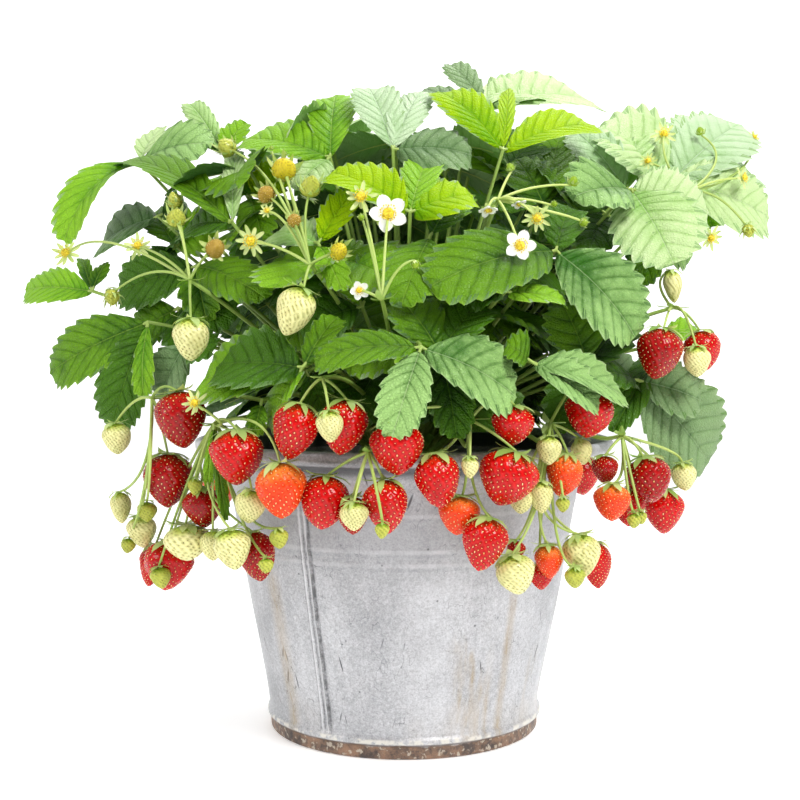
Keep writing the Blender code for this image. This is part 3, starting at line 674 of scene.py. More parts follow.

# Leaves: each stalk bears three leaflets, thin blades with a folded midrib, sunken side veins with
# the skin raised between them, and a coarse tooth at the end of each vein. The upper side is
# satin green, the underside paler and duller. Young leaves are yellower, and shine through. Shade
# is painted into the side veins, beside the midrib and towards each leaflet's base.
def leaf_skin(name, deep, light, vein, glow, share, roughness=0.42, gloss=0.26):
    skin = Surface(name, roughness)
    skin.set("Specular IOR Level", gloss)
    veins = ((skin.number("vein") + 0.5).math("FRACT") - 0.5).math("ABSOLUTE")
    across = skin.number("across")
    rib = skin.number("rib")
    groove = veins.fall(0.0, 0.24)
    line = veins.fall(0.02, 0.12)
    midrib = rib.fall(0.00015, 0.00055)
    crease = rib.fall(0.0004, 0.0022)
    net = skin.place.cells(560.0, "DISTANCE_TO_EDGE")
    net_lines = net.fall(0.02, 0.20)
    cloud = skin.place.noise(38.0, 3.0, 0.6)
    grain = skin.place.noise(240.0, 3.0, 0.6)
    # Painted shade: darker in the sunken side veins, in thin lines along them and beside the midrib, and
    # darker at the leaflet's base than at its tip. The tone also gets lighter towards the margins.
    hills = cloud * 0.8 + grain * 0.40 + skin.number("shade") * 0.35 + skin.number("out") * 0.34
    hills = hills + across * 0.16 - groove * 0.07 - crease * 0.12
    tone = (hills - 0.38).rise(0.15, 0.80).blend(deep, light)
    tone = (net_lines * 0.13).blend(tone, deep)
    tone = (line * (1.0 - across * 0.45) * 0.30).blend(tone, deep)
    tone = (midrib * 0.45).blend(tone, vein)
    tone = (across.rise(0.90, 1.0) * 0.50).blend(tone, vein)
    skin.set("Base Color", tone)
    skin.set("Roughness", grain * 0.25 + (roughness - 0.12))
    relief = net.rise(0.0, 0.25) * 0.6 - groove * groove * 0.7 - line * 0.3
    relief = relief - midrib * 0.8 + grain * 0.3
    skin.bump(relief, 0.0008, 0.75)
    skin.glow(glow, share)
    return skin


# Skin, its colour deep down, in the light, at its veins and shining through, how much shines
# through, and for a duller or glossier one its roughness and gloss.
LEAF_PAINTS = (
    ("dark leaf", (20, 54, 2), (74, 122, 12), (104, 150, 36), (86, 154, 4), 0.22),
    ("mid leaf", (34, 80, 2), (112, 162, 20), (150, 192, 64), (126, 194, 8), 0.24),
    ("fresh leaf", (68, 132, 6), (150, 204, 42), (186, 220, 96), (152, 212, 14), 0.26),
    # A lit copy of the green leaf: its pale tones are painted backlight.
    ("pale leaf", (148, 198, 96), (220, 241, 180), (230, 245, 200), (194, 232, 110), 0.28),
    ("lime leaf", (104, 166, 0), (176, 212, 0), (200, 226, 40), (176, 224, 0), 0.26, 0.48, 0.12),
    ("grey leaf", (62, 102, 44), (138, 168, 114), (164, 190, 140), (96, 155, 36), 0.16),
    # Also a lit copy: its pale bluish tones are painted backlight.
    ("bluish backlit leaf", (160, 198, 136), (208, 230, 190), (224, 240, 212), (200, 232, 140), 0.24),
    # Its pale light tone is a painted sheen.
    ("painted sheen leaf", (48, 104, 14), (168, 210, 124), (198, 226, 160), (126, 194, 30), 0.22),
    ("dark underside", (62, 102, 42), (104, 142, 76), (136, 170, 104), (80, 150, 20), 0.20, 0.66, 0.25),
    ("pale underside", (124, 162, 98), (168, 198, 138), (196, 220, 166), (160, 215, 80), 0.30, 0.66, 0.25),
)
LEAF_SKINS = []
for name, deep, light, vein, through, *finish in LEAF_PAINTS:
    LEAF_SKINS.append(leaf_skin(name, ink(*deep), ink(*light), ink(*vein), ink(*through), *finish))
LEAF_SURFACES = LEAF_SKINS + [stem_green]
DARK, MID, FRESH, PALE, LIME, GREY, BLUISH_BACKLIT, PAINTED_SHEEN = range(8)
UNDER_DARK, UNDER_PALE, STALK = 8, 9, 10
FINE_TEETH = np.array([0.0, 0.16, 0.42, 0.72, 0.87])
PLAIN_TEETH = np.array([0.0, 0.34, 0.72])
COLUMNS = np.array([0.0, 0.08, 0.26, 0.50, 0.78, 1.0])
COLUMNS = np.concatenate([-COLUMNS[:0:-1], COLUMNS])
UNDER_COLUMNS = [0, 1, 3, 5, 7, 9, 10]


def blade(pile, base, tip, width, looks, tone, fold, arch, seed, cut=FINE_TEETH):
    """One leaflet from base to tip, its upper side facing the way it looks."""
    rng = np.random.default_rng(seed)
    along = tip - base
    length = along.length
    teeth = int(np.clip(round(length / 0.0062), 6, 10))
    along.normalize()
    normal = (looks - looks.dot(along) * along).normalized()
    side = along.cross(normal)
    v = np.append((np.arange(teeth)[:, None] + cut).ravel() / teeth, 1.0)[:, None]
    s = COLUMNS[None, :]
    w = np.abs(s)
    margin_x = np.sin(math.pi / 2 * v**0.86) ** 2
    margin_y = np.sin(math.pi * v) ** (1.30 - 0.72 * v)
    mid_x = v**1.75
    x = mid_x + (margin_x - mid_x) * w**1.25
    y = s * margin_y * width / 2
    part = (teeth * v) % 1.0
    saw = np.where(part < 0.73, np.sin(part / 0.72 * 1.4), ((1.0 - part) / 0.28) ** 1.2) - 0.5
    toothed = np.clip((v - 0.16) / 0.14, 0, 1) * np.clip((1.02 - v) / 0.06, 0, 1)
    push = saw * toothed * np.clip((w - 0.7) / 0.3, 0, 1) ** 1.6
    bite = 0.78 / teeth * rng.uniform(0.85, 1.15)
    y = y + np.sign(s) * push * width * bite * 0.8
    x = x + push * bite * 0.24
    raised = np.abs(np.sin(math.pi * (part - 0.72)))
    swell = np.interp(w, (0.0, 0.08, 0.26, 0.50, 0.78, 1.0), (0.0, 0.55, 1.0, 1.0, 0.75, 0.2))
    lift = (raised**0.7 * swell - 0.4) * min(0.0013, 0.024 * width) * np.clip(v * (1 - v) * 6, 0, 1)
    wave = 0.0016 * np.sin(v * rng.uniform(5, 9) + rng.uniform(0, 6.3) + np.sign(s) * 0.8) * w**2
    fold = math.radians(fold + rng.uniform(-4, 4))
    spread = np.abs(y) - 0.06 * width * (1 - np.exp(-np.abs(y) / (0.06 * width)))
    droop = -0.10 * width * w**3 * rng.uniform(0.3, 1.0) - length * rng.uniform(0.0, 0.03) * x**4
    up = lift + wave + spread * math.sin(fold) + droop + 4 * arch * length * x * (1 - x)
    level = y * math.cos(fold)
    upper = laid(base, (x * length, along), (level, side), (up, normal))
    thick = 0.00035 * (1 - w**4)
    lower = upper - thick[..., None] * np.array(normal)
    numbers = {
        "vein": np.broadcast_to(teeth * v - 0.72, x.shape),
        "across": np.broadcast_to(w, x.shape),
        "rib": np.abs(y),
        "shade": np.full(x.shape, rng.uniform(0, 1)),
        "out": np.clip(x, 0, 1),
    }
    beneath = UNDER_PALE if tone in (FRESH, PALE, LIME, BLUISH_BACKLIT) else UNDER_DARK
    pile.grid(upper, tone, **numbers)
    numbers = {name: value[:, UNDER_COLUMNS] for name, value in numbers.items()}
    pile.grid(lower[:, UNDER_COLUMNS], beneath, flip=True, **numbers)
    middle = len(COLUMNS) // 2
    ridge = lower[: -len(cut) : len(cut), middle] - 0.0002 * np.array(normal)
    stem(pile, ridge, 0.00055, 0.0002, STALK, 0.75, 5)


Leaflet = namedtuple(
    "Leaflet", "photo_x photo_y behind wide tone looks fold arch", defaults=(None, 16.0, 0.07)
)
Leaf = namedtuple("Leaf", "name photo_x photo_y behind lift looks leaflets")


def true_width(base, tip, looks, pixels):
    """The width in metres of a leaflet that is seen so many pixels wide."""
    along = (tip - base).normalized()
    normal = (looks - looks.dot(along) * along).normalized()
    side = along.cross(normal)
    middle = (base + tip) / 2
    view = (middle - EYE).normalized()
    flat_along = along - view * along.dot(view)
    flat_side = side - view * side.dot(view)
    seen = flat_side.cross(flat_along).length / flat_along.length
    return pixels * scale_at(middle) / max(seen, 0.35)


def grow_leaf(pile, hub, lift, leaflets, seed, cut=FINE_TEETH):
    """A stalk from the crown to the hub and its leaflets, as (tip, width, looks, tone, fold, arch)."""
    stem(pile, climb(hub, lift, 11), 0.0015, 0.0010, STALK, 0.35, 7)
    for number, (tip, width, looks, tone, fold, arch) in enumerate(leaflets):
        reach = (tip - hub).normalized()
        base = hub + reach * 0.0022
        stem(pile, [hub - reach * 0.0006, base + reach * 0.001], 0.0010, 0.0008, STALK, 0.5, 6)
        blade(pile, base, tip, width, looks, tone, fold, arch, seed * 7 + number, cut)


def view_leaf(pile, leaf, seed, cut=FINE_TEETH):
    """Grows a leaf from its row, placed by where it is seen from the front."""
    hub = spot(leaf.photo_x, leaf.photo_y, leaf.behind)
    leaflets = []
    for row in leaf.leaflets:
        part = Leaflet(*row)
        right, toward, up = part.looks or leaf.looks
        looks = Vector((right, -toward, up))
        tip = spot(part.photo_x, part.photo_y, part.behind)
        width = true_width(hub, tip, looks, part.wide)
        leaflets.append((tip, width, looks, part.tone, part.fold, part.arch))
    grow_leaf(pile, hub, leaf.lift, leaflets, seed, cut)


# For each leaf its name, the place of its hub, its lift, the way it looks and its leaflets, and for
# each leaflet the place of its tip, how wide it is seen, its tone and what else differs.
FRONT_LEAVES = (
    Leaf("leaf_front", 421, 347, 2, 0.34, (0.0, 0.60, 0.80), (
        (314, 357, -4, 38, MID), (392, 437, -9, 54, PAINTED_SHEEN, (0.1, 0.75, 0.65)),
        (518, 396, 0, 62, PAINTED_SHEEN))),
    Leaf("leaf_front_under", 440, 352, 24, 0.36, (0.0, 0.60, 0.80), (
        (457, 437, 3, 46, DARK), (400, 300, 34, 50, MID), (482, 302, 34, 52, DARK))),
    Leaf("leaf_front_left", 303, 367, 10, 0.34, (-0.1, 0.60, 0.80), (
        (215, 366, 4, 64, DARK, (0.0, 0.75, 0.65)), (338, 316, 26, 30, MID), (268, 427, 18, 28, FRESH))),
    Leaf("leaf_left", 148, 322, 12, 0.20, (-0.3, 0.60, 0.75), (
        (47, 373, -26, 56, MID, (-0.1, 0.95, 0.3)), (112, 427, 8, 56, DARK, (-0.1, 0.95, 0.3)),
        (143, 398, 14, 22, FRESH))),
    Leaf("leaf_far_left", 92, 291, 14, 0.12, (-0.1, 0.60, 0.80), (
        (25, 290, -4, 38, FRESH, (0.0, 0.9, 0.4)), (82, 258, 16, 14, MID), (106, 262, 22, 14, MID))),
    Leaf("leaf_left_pale", 139, 161, 28, 0.06, (-0.4, 0.60, 0.70), (
        (64, 241, -16, 34, FRESH, (-0.5, 0.75, 0.4), 20.0, 0.15), (206, 142, 30, 36, PAINTED_SHEEN),
        (162, 127, 34, 18, PALE))),
    Leaf("leaf_left_long", 232, 222, 6, 0.06, (0.0, 0.60, 0.80), (
        (121, 156, 4, 34, MID), (183, 230, 28, 38, DARK, (0.0, 0.9, 0.45)), (236, 150, 20, 24, PALE))),
    Leaf("leaf_left_dark", 196, 266, 40, 0.16, (-0.2, 0.60, 0.75), (
        (117, 294, 22, 52, DARK, (0.0, 0.9, 0.4)), (206, 318, 34, 44, MID),
        (264, 297, 24, 46, MID, (0.0, 0.8, 0.5)))),
    Leaf("leaf_top_left", 330, 157, 22, 0.02, (-0.1, 0.60, 0.80), (
        (243, 139, 16, 42, FRESH), (336, 94, 30, 48, FRESH), (298, 186, 18, 32, PALE))),
    Leaf("leaf_top_blue", 393, 149, 8, 0.02, (0.0, 0.70, 0.70), (
        (368, 87, 14, 48, BLUISH_BACKLIT), (421, 91, 16, 38, BLUISH_BACKLIT), (472, 154, 8, 44, GREY))),
    Leaf("leaf_yellow", 503, 150, 2, 0.02, (0.1, 0.60, 0.80), (
        (438, 90, 4, 38, LIME), (595, 125, -4, 32, LIME), (508, 88, 12, 18, LIME))),
    Leaf("leaf_top", 484, 104, 42, 0.0, (0.0, 0.60, 0.80), (
        (449, 64, 40, 24, GREY), (534, 94, 46, 32, PALE), (594, 102, 60, 34, PALE))),
    Leaf("leaf_centre", 410, 212, 4, 0.14, (0.0, 0.60, 0.80), (
        (331, 171, 0, 44, LIME), (473, 194, -2, 40, LIME), (428, 158, 14, 42, FRESH))),
    Leaf("leaf_right", 556, 250, 8, 0.16, (0.1, 0.65, 0.75), (
        (433, 282, 4, 70, MID, (0.0, 0.75, 0.65)), (637, 336, 0, 74, PAINTED_SHEEN), (568, 205, 16, 46, DARK))),
    Leaf("leaf_right_pale", 631, 189, 2, 0.10, (0.2, 0.60, 0.80), (
        (674, 263, -10, 90, PALE, (0.0, 0.85, 0.5)), (577, 194, 2, 54, PAINTED_SHEEN, (0.0, 0.8, 0.6)),
        (710, 212, -12, 62, PALE, (0.1, 0.85, 0.5)))),
    Leaf("leaf_right_far", 672, 180, 28, 0.06, (0.3, 0.60, 0.75), (
        (770, 218, 16, 64, PALE, (0.1, 0.9, 0.4)), (742, 124, 22, 74, BLUISH_BACKLIT, (0.1, 0.8, 0.6)),
        (600, 126, 34, 62, PALE))),
    Leaf("leaf_right_low", 638, 380, 36, 0.22, (0.3, 0.65, 0.70), (
        (710, 463, 18, 92, GREY, (0.1, 0.95, 0.3)), (702, 400, 2, 52, GREY, (0.1, 0.9, 0.4)),
        (588, 372, 34, 30, DARK))),
    Leaf("leaf_right_fold", 532, 362, 8, 0.30, (0.2, 0.60, 0.80), (
        (626, 398, -6, 34, PAINTED_SHEEN, None, 26.0), (600, 409, -12, 38, PAINTED_SHEEN, None, 26.0),
        (508, 345, 8, 34, MID))),
)
LEAF_NUMBERS = ("vein", "across", "rib", "shade", "out", "tint")

for order, leaf in enumerate(FRONT_LEAVES):
    foliage = Pile(*LEAF_NUMBERS)
    view_leaf(foliage, leaf, order)
    foliage.finish(leaf.name + "_foliage", LEAF_SURFACES, "green_leaf", leaf.name)

# Inner leaves, behind and between the ones above, and mostly in their shade. Each has one to four
# leaflets.
INNER_LEAVES = (
    Leaf("left", 214, 424, 2, 0.20, (0.0, 0.90, 0.40), (
        (226, 520, -4, 13, MID), (208, 486, 2, 12, FRESH))),
    Leaf("left", 262, 400, 14, 0.24, (0.0, 0.90, 0.40), (
        (254, 436, 6, 22, MID),)),
    Leaf("left", 306, 371, 20, 0.30, (0.0, 0.70, 0.70), (
        (203, 379, 13, 72, FRESH), (323, 408, 26, 34, DARK))),
    Leaf("left", 186, 342, 30, 0.20, (-0.2, 0.80, 0.60), (
        (160, 403, 36, 46, GREY), (212, 352, 34, 40, DARK))),
    Leaf("left", 158, 216, 30, 0.06, (-0.2, 0.60, 0.80), (
        (99, 246, 26, 30, GREY), (186, 206, 40, 30, DARK))),
    Leaf("left", 222, 152, 50, 0.0, (-0.1, 0.60, 0.80), (
        (188, 103, 52, 26, PALE), (168, 128, 54, 22, DARK), (246, 122, 46, 24, FRESH))),
    Leaf("middle", 318, 243, 16, 0.16, (0.0, 0.70, 0.70), (
        (354, 193, 12, 34, LIME), (274, 233, 26, 38, PALE), (342, 290, 22, 30, FRESH))),
    Leaf("middle", 430, 236, 22, 0.14, (0.0, 0.80, 0.60), (
        (402, 302, 14, 60, MID), (462, 190, 30, 44, MID))),
    Leaf("middle", 362, 306, 50, 0.20, (0.0, 0.70, 0.70), (
        (342, 240, 50, 58, FRESH), (388, 252, 46, 50, MID), (300, 330, 44, 50, DARK))),
    Leaf("right", 506, 291, 8, 0.20, (0.1, 0.50, 0.85), (
        (566, 302, 4, 20, FRESH), (470, 300, 20, 30, DARK))),
    Leaf("right", 588, 364, 40, 0.20, (0.0, 0.80, 0.60), (
        (562, 302, 38, 62, MID), (626, 318, 34, 52, DARK), (556, 426, 34, 50, DARK),
        (646, 386, 46, 30, GREY))),
    Leaf("right", 545, 206, 44, 0.10, (0.0, 0.70, 0.70), (
        (516, 158, 40, 50, MID), (584, 164, 44, 46, DARK), (560, 132, 52, 46, MID),
        (560, 240, 36, 46, DARK))),
    Leaf("right", 640, 186, 44, 0.04, (0.1, 0.60, 0.80), (
        (654, 112, 40, 36, PALE), (626, 110, 56, 16, LIME), (700, 232, 40, 40, FRESH))),
    Leaf("right", 694, 178, 50, 0.04, (0.1, 0.80, 0.60), (
        (752, 172, 40, 54, BLUISH_BACKLIT), (690, 116, 50, 50, BLUISH_BACKLIT), (712, 226, 40, 44, FRESH))),
    Leaf("right", 660, 345, 46, 0.16, (0.2, 0.70, 0.70), (
        (696, 326, 40, 26, FRESH), (614, 430, 30, 34, DARK))),
    Leaf("right", 470, 118, 40, 0.0, (0.0, 0.60, 0.80), (
        (512, 84, 56, 20, PALE), (424, 88, 44, 26, GREY))),
    Leaf("right", 627, 190, 30, 0.10, (0.0, 0.80, 0.60), (
        (574, 130, 32, 46, BLUISH_BACKLIT), (640, 118, 40, 40, PALE), (566, 168, 44, 30, PAINTED_SHEEN))),
    Leaf("right", 606, 214, 46, 0.10, (0.0, 0.85, 0.50), (
        (566, 178, 50, 46, DARK), (586, 252, 40, 48, DARK), (648, 236, 44, 44, MID))),
    Leaf("right", 652, 232, 50, 0.10, (0.0, 0.85, 0.50), (
        (690, 262, 48, 34, PAINTED_SHEEN), (640, 282, 46, 40, MID))),
    Leaf("left", 176, 246, 50, 0.10, (0.0, 0.85, 0.50), (
        (150, 212, 54, 34, MID), (214, 226, 50, 44, FRESH), (150, 280, 44, 40, DARK))),
    Leaf("left", 178, 308, 46, 0.14, (0.0, 0.85, 0.50), (
        (138, 334, 40, 40, MID), (186, 356, 42, 44, DARK), (232, 318, 46, 46, DARK))),
    Leaf("left", 250, 196, 50, 0.06, (0.0, 0.80, 0.60), (
        (214, 176, 54, 40, FRESH), (284, 168, 54, 44, LIME), (262, 236, 46, 44, MID))),
    Leaf("middle", 500, 176, 54, 0.0, (0.0, 0.80, 0.60), (
        (450, 134, 60, 44, MID), (546, 134, 60, 44, DARK), (520, 210, 50, 44, DARK))),
    Leaf("middle", 474, 384, 44, 0.20, (0.0, 0.80, 0.60), (
        (476, 432, 40, 54, DARK), (524, 430, 46, 50, DARK))),
)
for side_name in ("left", "middle", "right"):
    foliage = Pile(*LEAF_NUMBERS)
    for order, leaf in enumerate(INNER_LEAVES):
        if leaf.name == side_name:
            view_leaf(foliage, leaf, 60 + order, PLAIN_TEETH)
    foliage.finish("inner_leaves_" + side_name, LEAF_SURFACES, "green_leaf")

LEAFLET_TURN = 78
BackLeaf = namedtuple("BackLeaf", "name degrees reach height lift length width drop tone")
BACK_LEAVES = (
    BackLeaf("leaf_back_left", 236, 0.118, 0.262, 0.16, 0.066, 0.052, 0.030, MID),
    BackLeaf("leaf_back_low", 208, 0.114, 0.216, 0.26, 0.060, 0.050, 0.030, DARK),
    BackLeaf("leaf_back_high", 184, 0.082, 0.318, 0.06, 0.068, 0.054, 0.020, MID),
    BackLeaf("leaf_back", 160, 0.108, 0.244, 0.20, 0.060, 0.052, 0.028, MID),
    BackLeaf("leaf_back_right", 126, 0.118, 0.268, 0.16, 0.066, 0.052, 0.030, MID),
)


def umbrella(pile, leaf, seed, cut=FINE_TEETH):
    """A leaf whose three leaflets spread from its hub and droop, placed round the axis."""
    hub = polar(leaf.degrees, leaf.reach, leaf.height)
    looks = polar(leaf.degrees, 0.55, 0.80)
    leaflets = []
    for turn, share in ((-LEAFLET_TURN, 0.85), (0, 1.0), (LEAFLET_TURN, 0.85)):
        outward = polar(leaf.degrees + turn, leaf.length * share, -leaf.drop * share)
        leaflets.append((hub + outward, leaf.width, looks, leaf.tone, 14.0, 0.07))
    grow_leaf(pile, hub, leaf.lift, leaflets, seed, cut)


for order, leaf in enumerate(BACK_LEAVES):
    foliage = Pile(*LEAF_NUMBERS)
    umbrella(foliage, leaf, 40 + order)
    foliage.finish(leaf.name + "_foliage", LEAF_SURFACES, "green_leaf", leaf.name)

# The thicket: many more leaves of the same kinds, all round and inside the plant. Each keeps
# within the outline that the plant has from the front.
OUTLINE = (
    (190, 140), (240, 132), (330, 106), (400, 102), (500, 106), (590, 116), (650, 130),
    (730, 150), (750, 205), (700, 236), (684, 280), (640, 310), (636, 392), (600, 424),
    (430, 428), (216, 420), (206, 396), (216, 344), (160, 300), (140, 270), (168, 228), (160, 172),
)


def in_outline(point):
    """Whether a point is seen inside the outline from the front."""
    ray = point - EYE
    ahead = ray.y * math.cos(EYE_DOWN) - ray.z * math.sin(EYE_DOWN)
    above = ray.y * math.sin(EYE_DOWN) + ray.z * math.cos(EYE_DOWN)
    x = PICTURE_MIDDLE + ray.x / ahead * EYE_PIXELS
    y = PICTURE_MIDDLE - above / ahead * EYE_PIXELS
    inside = False
    for (x1, y1), (x2, y2) in zip(OUTLINE, OUTLINE[1:] + OUTLINE[:1]):
        if (y1 > y) != (y2 > y) and x < (x2 - x1) * (y - y1) / (y2 - y1) + x1:
            inside = not inside
    return inside


# For each ring how many leaves it has, the degrees it spans, how far from the axis and how high
# their hubs are, and their tones.
DEEPEST = 0.155
THICKET = (
    (16, 0, 360, 0.035, 0.075, 0.215, 0.285, (DARK, MID, FRESH)),
    (13, 70, 290, 0.080, 0.115, 0.215, 0.260, (DARK, MID, MID, GREY)),
    (12, 98, 285, 0.060, 0.095, 0.285, 0.330, (MID, FRESH, MID, PALE)),
    (5, 110, 250, 0.020, 0.060, 0.335, 0.365, (FRESH, LIME, PALE)),
    (15, 95, 265, 0.080, 0.106, 0.184, 0.200, (DARK, MID, MID)),
)
rng = np.random.default_rng(12)
for ring_number, (count, first, last, near, far, low, high, tones) in enumerate(THICKET):
    foliage = Pile(*LEAF_NUMBERS)
    for number in range(count):
        for attempt in range(12):
            degrees = first + (last - first) * (number + rng.uniform(0.1, 0.9)) / count
            row = BackLeaf(
                "", degrees, rng.uniform(near, far), rng.uniform(low, high), 0.14,
                rng.uniform(0.048, 0.062), rng.uniform(0.040, 0.052), rng.uniform(0.012, 0.030),
                tones[int(rng.integers(len(tones)))]
            )
            hub = polar(degrees, row.reach, row.height)
            reached = [hub]
            for turn in (-LEAFLET_TURN, 0, LEAFLET_TURN):
                reached.append(hub + polar(degrees + turn, row.length, -row.drop))
            if all(in_outline(point) and abs(point.y) < DEEPEST for point in reached):
                umbrella(foliage, row, 200 + ring_number * 30 + number, PLAIN_TEETH)
                break
    foliage.finish(f"thicket_{ring_number + 1}", LEAF_SURFACES, "green_leaf")

# Berries: a strawberry is a swollen flower base. Its skin is thin and glossy over pale flesh, with
# the seeds sunk in pits all round it, and a star of sepals round the stem. Unripe ones are hard
# and cream or green, with darker seeds.
WIDEST = 0.36
GOLDEN_TURN = 2.399963


def berry_radius(t, bulge=1.6):
    """The share of the full half-width at a share of the way from the calyx to the tip."""
    near = np.sqrt(np.clip(1.0 - (1.0 - t / WIDEST) ** 2, 0, 1))
    far = np.clip(1.0 - np.clip((t - WIDEST) / (1.0 - WIDEST), 0, 1) ** bulge, 0, 1) ** 0.64
    return np.where(t < WIDEST, near, far)


def berry_skin(name, shoulder, body, pit, roughness, coat, fade=0.26, sunk=0.75):
    skin = Surface(name, roughness)
    along = skin.number("along")
    cloud = skin.place.noise(70.0, 3.0)
    tone = (along + (cloud - 0.5) * fade).rise(0.02, fade).blend(shoulder, body)
    deep = (cloud.rise(0.45, 0.8) * 0.4).blend(tone, pit)
    hollow = skin.number("pit")
    # Painted shade: the skin is darker in the pits round the seeds.
    skin.set("Base Color", (hollow * sunk).blend(deep, pit))
    skin.set("Coat Weight", coat)
    skin.set("Coat Roughness", 0.10)
    skin.set("Specular IOR Level", 0.12)
    skin.set("Subsurface Weight", 0.08)
    skin.set("Subsurface Radius", (0.8, 0.25, 0.12))
    skin.set("Subsurface Scale", 0.002)
    skin.bump(skin.place.noise(420.0, 3.0), 0.0004, 0.40)
    return skin


def speckled(name, roughness, scale, low, high, dark, light):
    """A surface of two tones in fine specks."""
    skin = Surface(name, roughness)
    skin.set("Base Color", skin.place.noise(scale).rise(low, high).blend(ink(*dark), ink(*light)))
    return skin


# Skin, its colour by the calyx, on the body and in the pits, its roughness and gloss, and for some
# how softly the colours meet and how dark the pits are. The darker pits are painted shade.
BERRY_PAINTS = (
    ("red berry", (216, 40, 8), (208, 2, 2), (132, 0, 1), 0.26, 0.34),
    ("deep red berry", (186, 18, 6), (174, 2, 2), (100, 0, 1), 0.26, 0.34),
    ("orange berry", (248, 142, 56), (238, 72, 18), (204, 38, 6), 0.32, 0.28, 0.42),
    ("cream berry", (194, 212, 92), (241, 237, 172), (142, 138, 42), 0.40, 0.20, 0.26, 0.9),
    ("green berry", (136, 166, 44), (196, 200, 88), (112, 126, 24), 0.40, 0.20, 0.26, 0.85),
    ("yellow berry", (186, 200, 70), (216, 198, 52), (166, 138, 24), 0.45, 0.10),
    ("brown berry", (196, 198, 104), (176, 146, 62), (116, 80, 28), 0.60, 0.0),
)
BERRY_SURFACES = []
for name, shoulder, body, pit, *finish in BERRY_PAINTS:
    BERRY_SURFACES.append(berry_skin(name, ink(*shoulder), ink(*body), ink(*pit), *finish))
BERRY_SURFACES += [
    speckled("gold seeds", 0.35, 500.0, 0.3, 0.7, (240, 196, 100), (254, 238, 176)),
    speckled("brown seeds", 0.35, 500.0, 0.3, 0.7, (86, 76, 20), (138, 122, 44)),
]
RED, CRIMSON, ORANGE, CREAM, GREEN, YELLOW, BROWN, GOLD_SEED, BROWN_SEED, SEPAL = range(10)
RIPE = (RED, CRIMSON, ORANGE)
SEED_OF = {
    RED: GOLD_SEED, CRIMSON: GOLD_SEED, ORANGE: GOLD_SEED,
    CREAM: BROWN_SEED, GREEN: BROWN_SEED, YELLOW: BROWN_SEED, BROWN: GOLD_SEED,
}

sepal_green = Surface("sepals", 0.5)
sepal_tone = sepal_green.number("tint")
sepal_cloud = sepal_green.place.noise(260.0, 3.0)
sepal_base = sepal_tone.blend(ink(96, 152, 20), ink(230, 238, 166))
sepal_green.set("Base Color", (sepal_cloud.rise(0.45, 0.8) * 0.35).blend(sepal_base, ink(132, 180, 50)))
sepal_green.bump(sepal_cloud, 0.0003, 0.5)
sepal_green.glow(ink(190, 220, 100), 0.22)
BERRY_SURFACES.append(sepal_green)
BERRY_NUMBERS = ("along", "pit", "tint")

SEED_CORNERS = np.array(
    [(0.62, 0.0, -0.15), (0, 0, 1.0), (0, 0.60, -0.15), (0, 0, -0.8),
     (0, 0.60, -0.15), (0, 0, 1.0), (-0.62, 0.0, -0.15), (0, 0, -0.8)]
)


def axes_of(down, roll=0.0):
    """Two directions across an axis, turned about it."""
    down = unit(np.array(down, float))
    right = unit(np.cross(down, (0.0, 1.0, 0.0)))
    front = np.cross(right, down)
    turned = right * math.cos(roll) + front * math.sin(roll)
    return down, turned, np.cross(turned, down)


def sepal(pile, root, outward, up, reach, width, rise, curl, tint):
    """One pointed sepal from a root, spreading outward and curling up by its tip."""
    t = np.linspace(0, 1, 7)[:, None]
    s = np.array([-1.0, -0.5, 0.0, 0.5, 1.0])[None, :]
    side = np.cross(outward, up)
    wide = width / 2 * (np.sin(math.pi * np.clip(t * 0.92 + 0.08, 0, 1) ** 0.75) ** 0.8)
    go = reach * np.sin(t * math.pi / 2 * (1 - 0.3 * abs(curl)))
    climb_by = rise * t * 1.6 + curl * reach * t**2.2 + 0.12 * width * s**2
    sheet = laid(root, (go, outward), (climb_by, up), (wide * s, side))
    pile.grid(sheet, SEPAL, tint=tint)


def calyx(pile, top, down, wide, high, rng, tint, size):
    """The star of sepals, narrow and broad ones by turns, draped over the berry's shoulder."""
    axis, right, front = axes_of(down)
    t = np.linspace(0, 1, 8)[:, None]
    s = np.array([-1.0, -0.5, 0.0, 0.5, 1.0])[None, :]
    for index in range(11):
        turn = 2 * math.pi * index / 11 + rng.uniform(-0.16, 0.16)
        outward = right * math.cos(turn) + front * math.sin(turn)
        side = np.cross(outward, axis)
        flips = rng.uniform() < 0.5
        end = rng.uniform(0.06, 0.13) if flips else rng.uniform(0.13, 0.25)
        fall = end * size * t**1.5
        lift = wide * (rng.uniform(0.10, 0.22) if flips else rng.uniform(0.01, 0.05)) * t**2.5
        out = wide / 2 * berry_radius(np.clip(fall, 0, WIDEST)) + 0.0007 + lift * 0.6
        half = wide * rng.uniform(0.062, 0.094) * size * (1.0 if index % 2 else 0.75)
        across = half * np.sin(math.pi * np.clip(0.10 + 0.90 * t, 0, 1) ** 0.8) ** 0.75
        across = across * (1 - t**6 * 0.8)
        down_by = high * fall - lift - 0.0008 - 0.10 * half * np.abs(s) * t
        sheet = laid(top, (out, outward), (across * s, side), (down_by, axis))
        tone = np.clip(tint + rng.uniform(-0.22, 0.22) + 0.15 * t * np.ones_like(s), 0, 1)
        pile.grid(sheet, SEPAL, tint=tone)


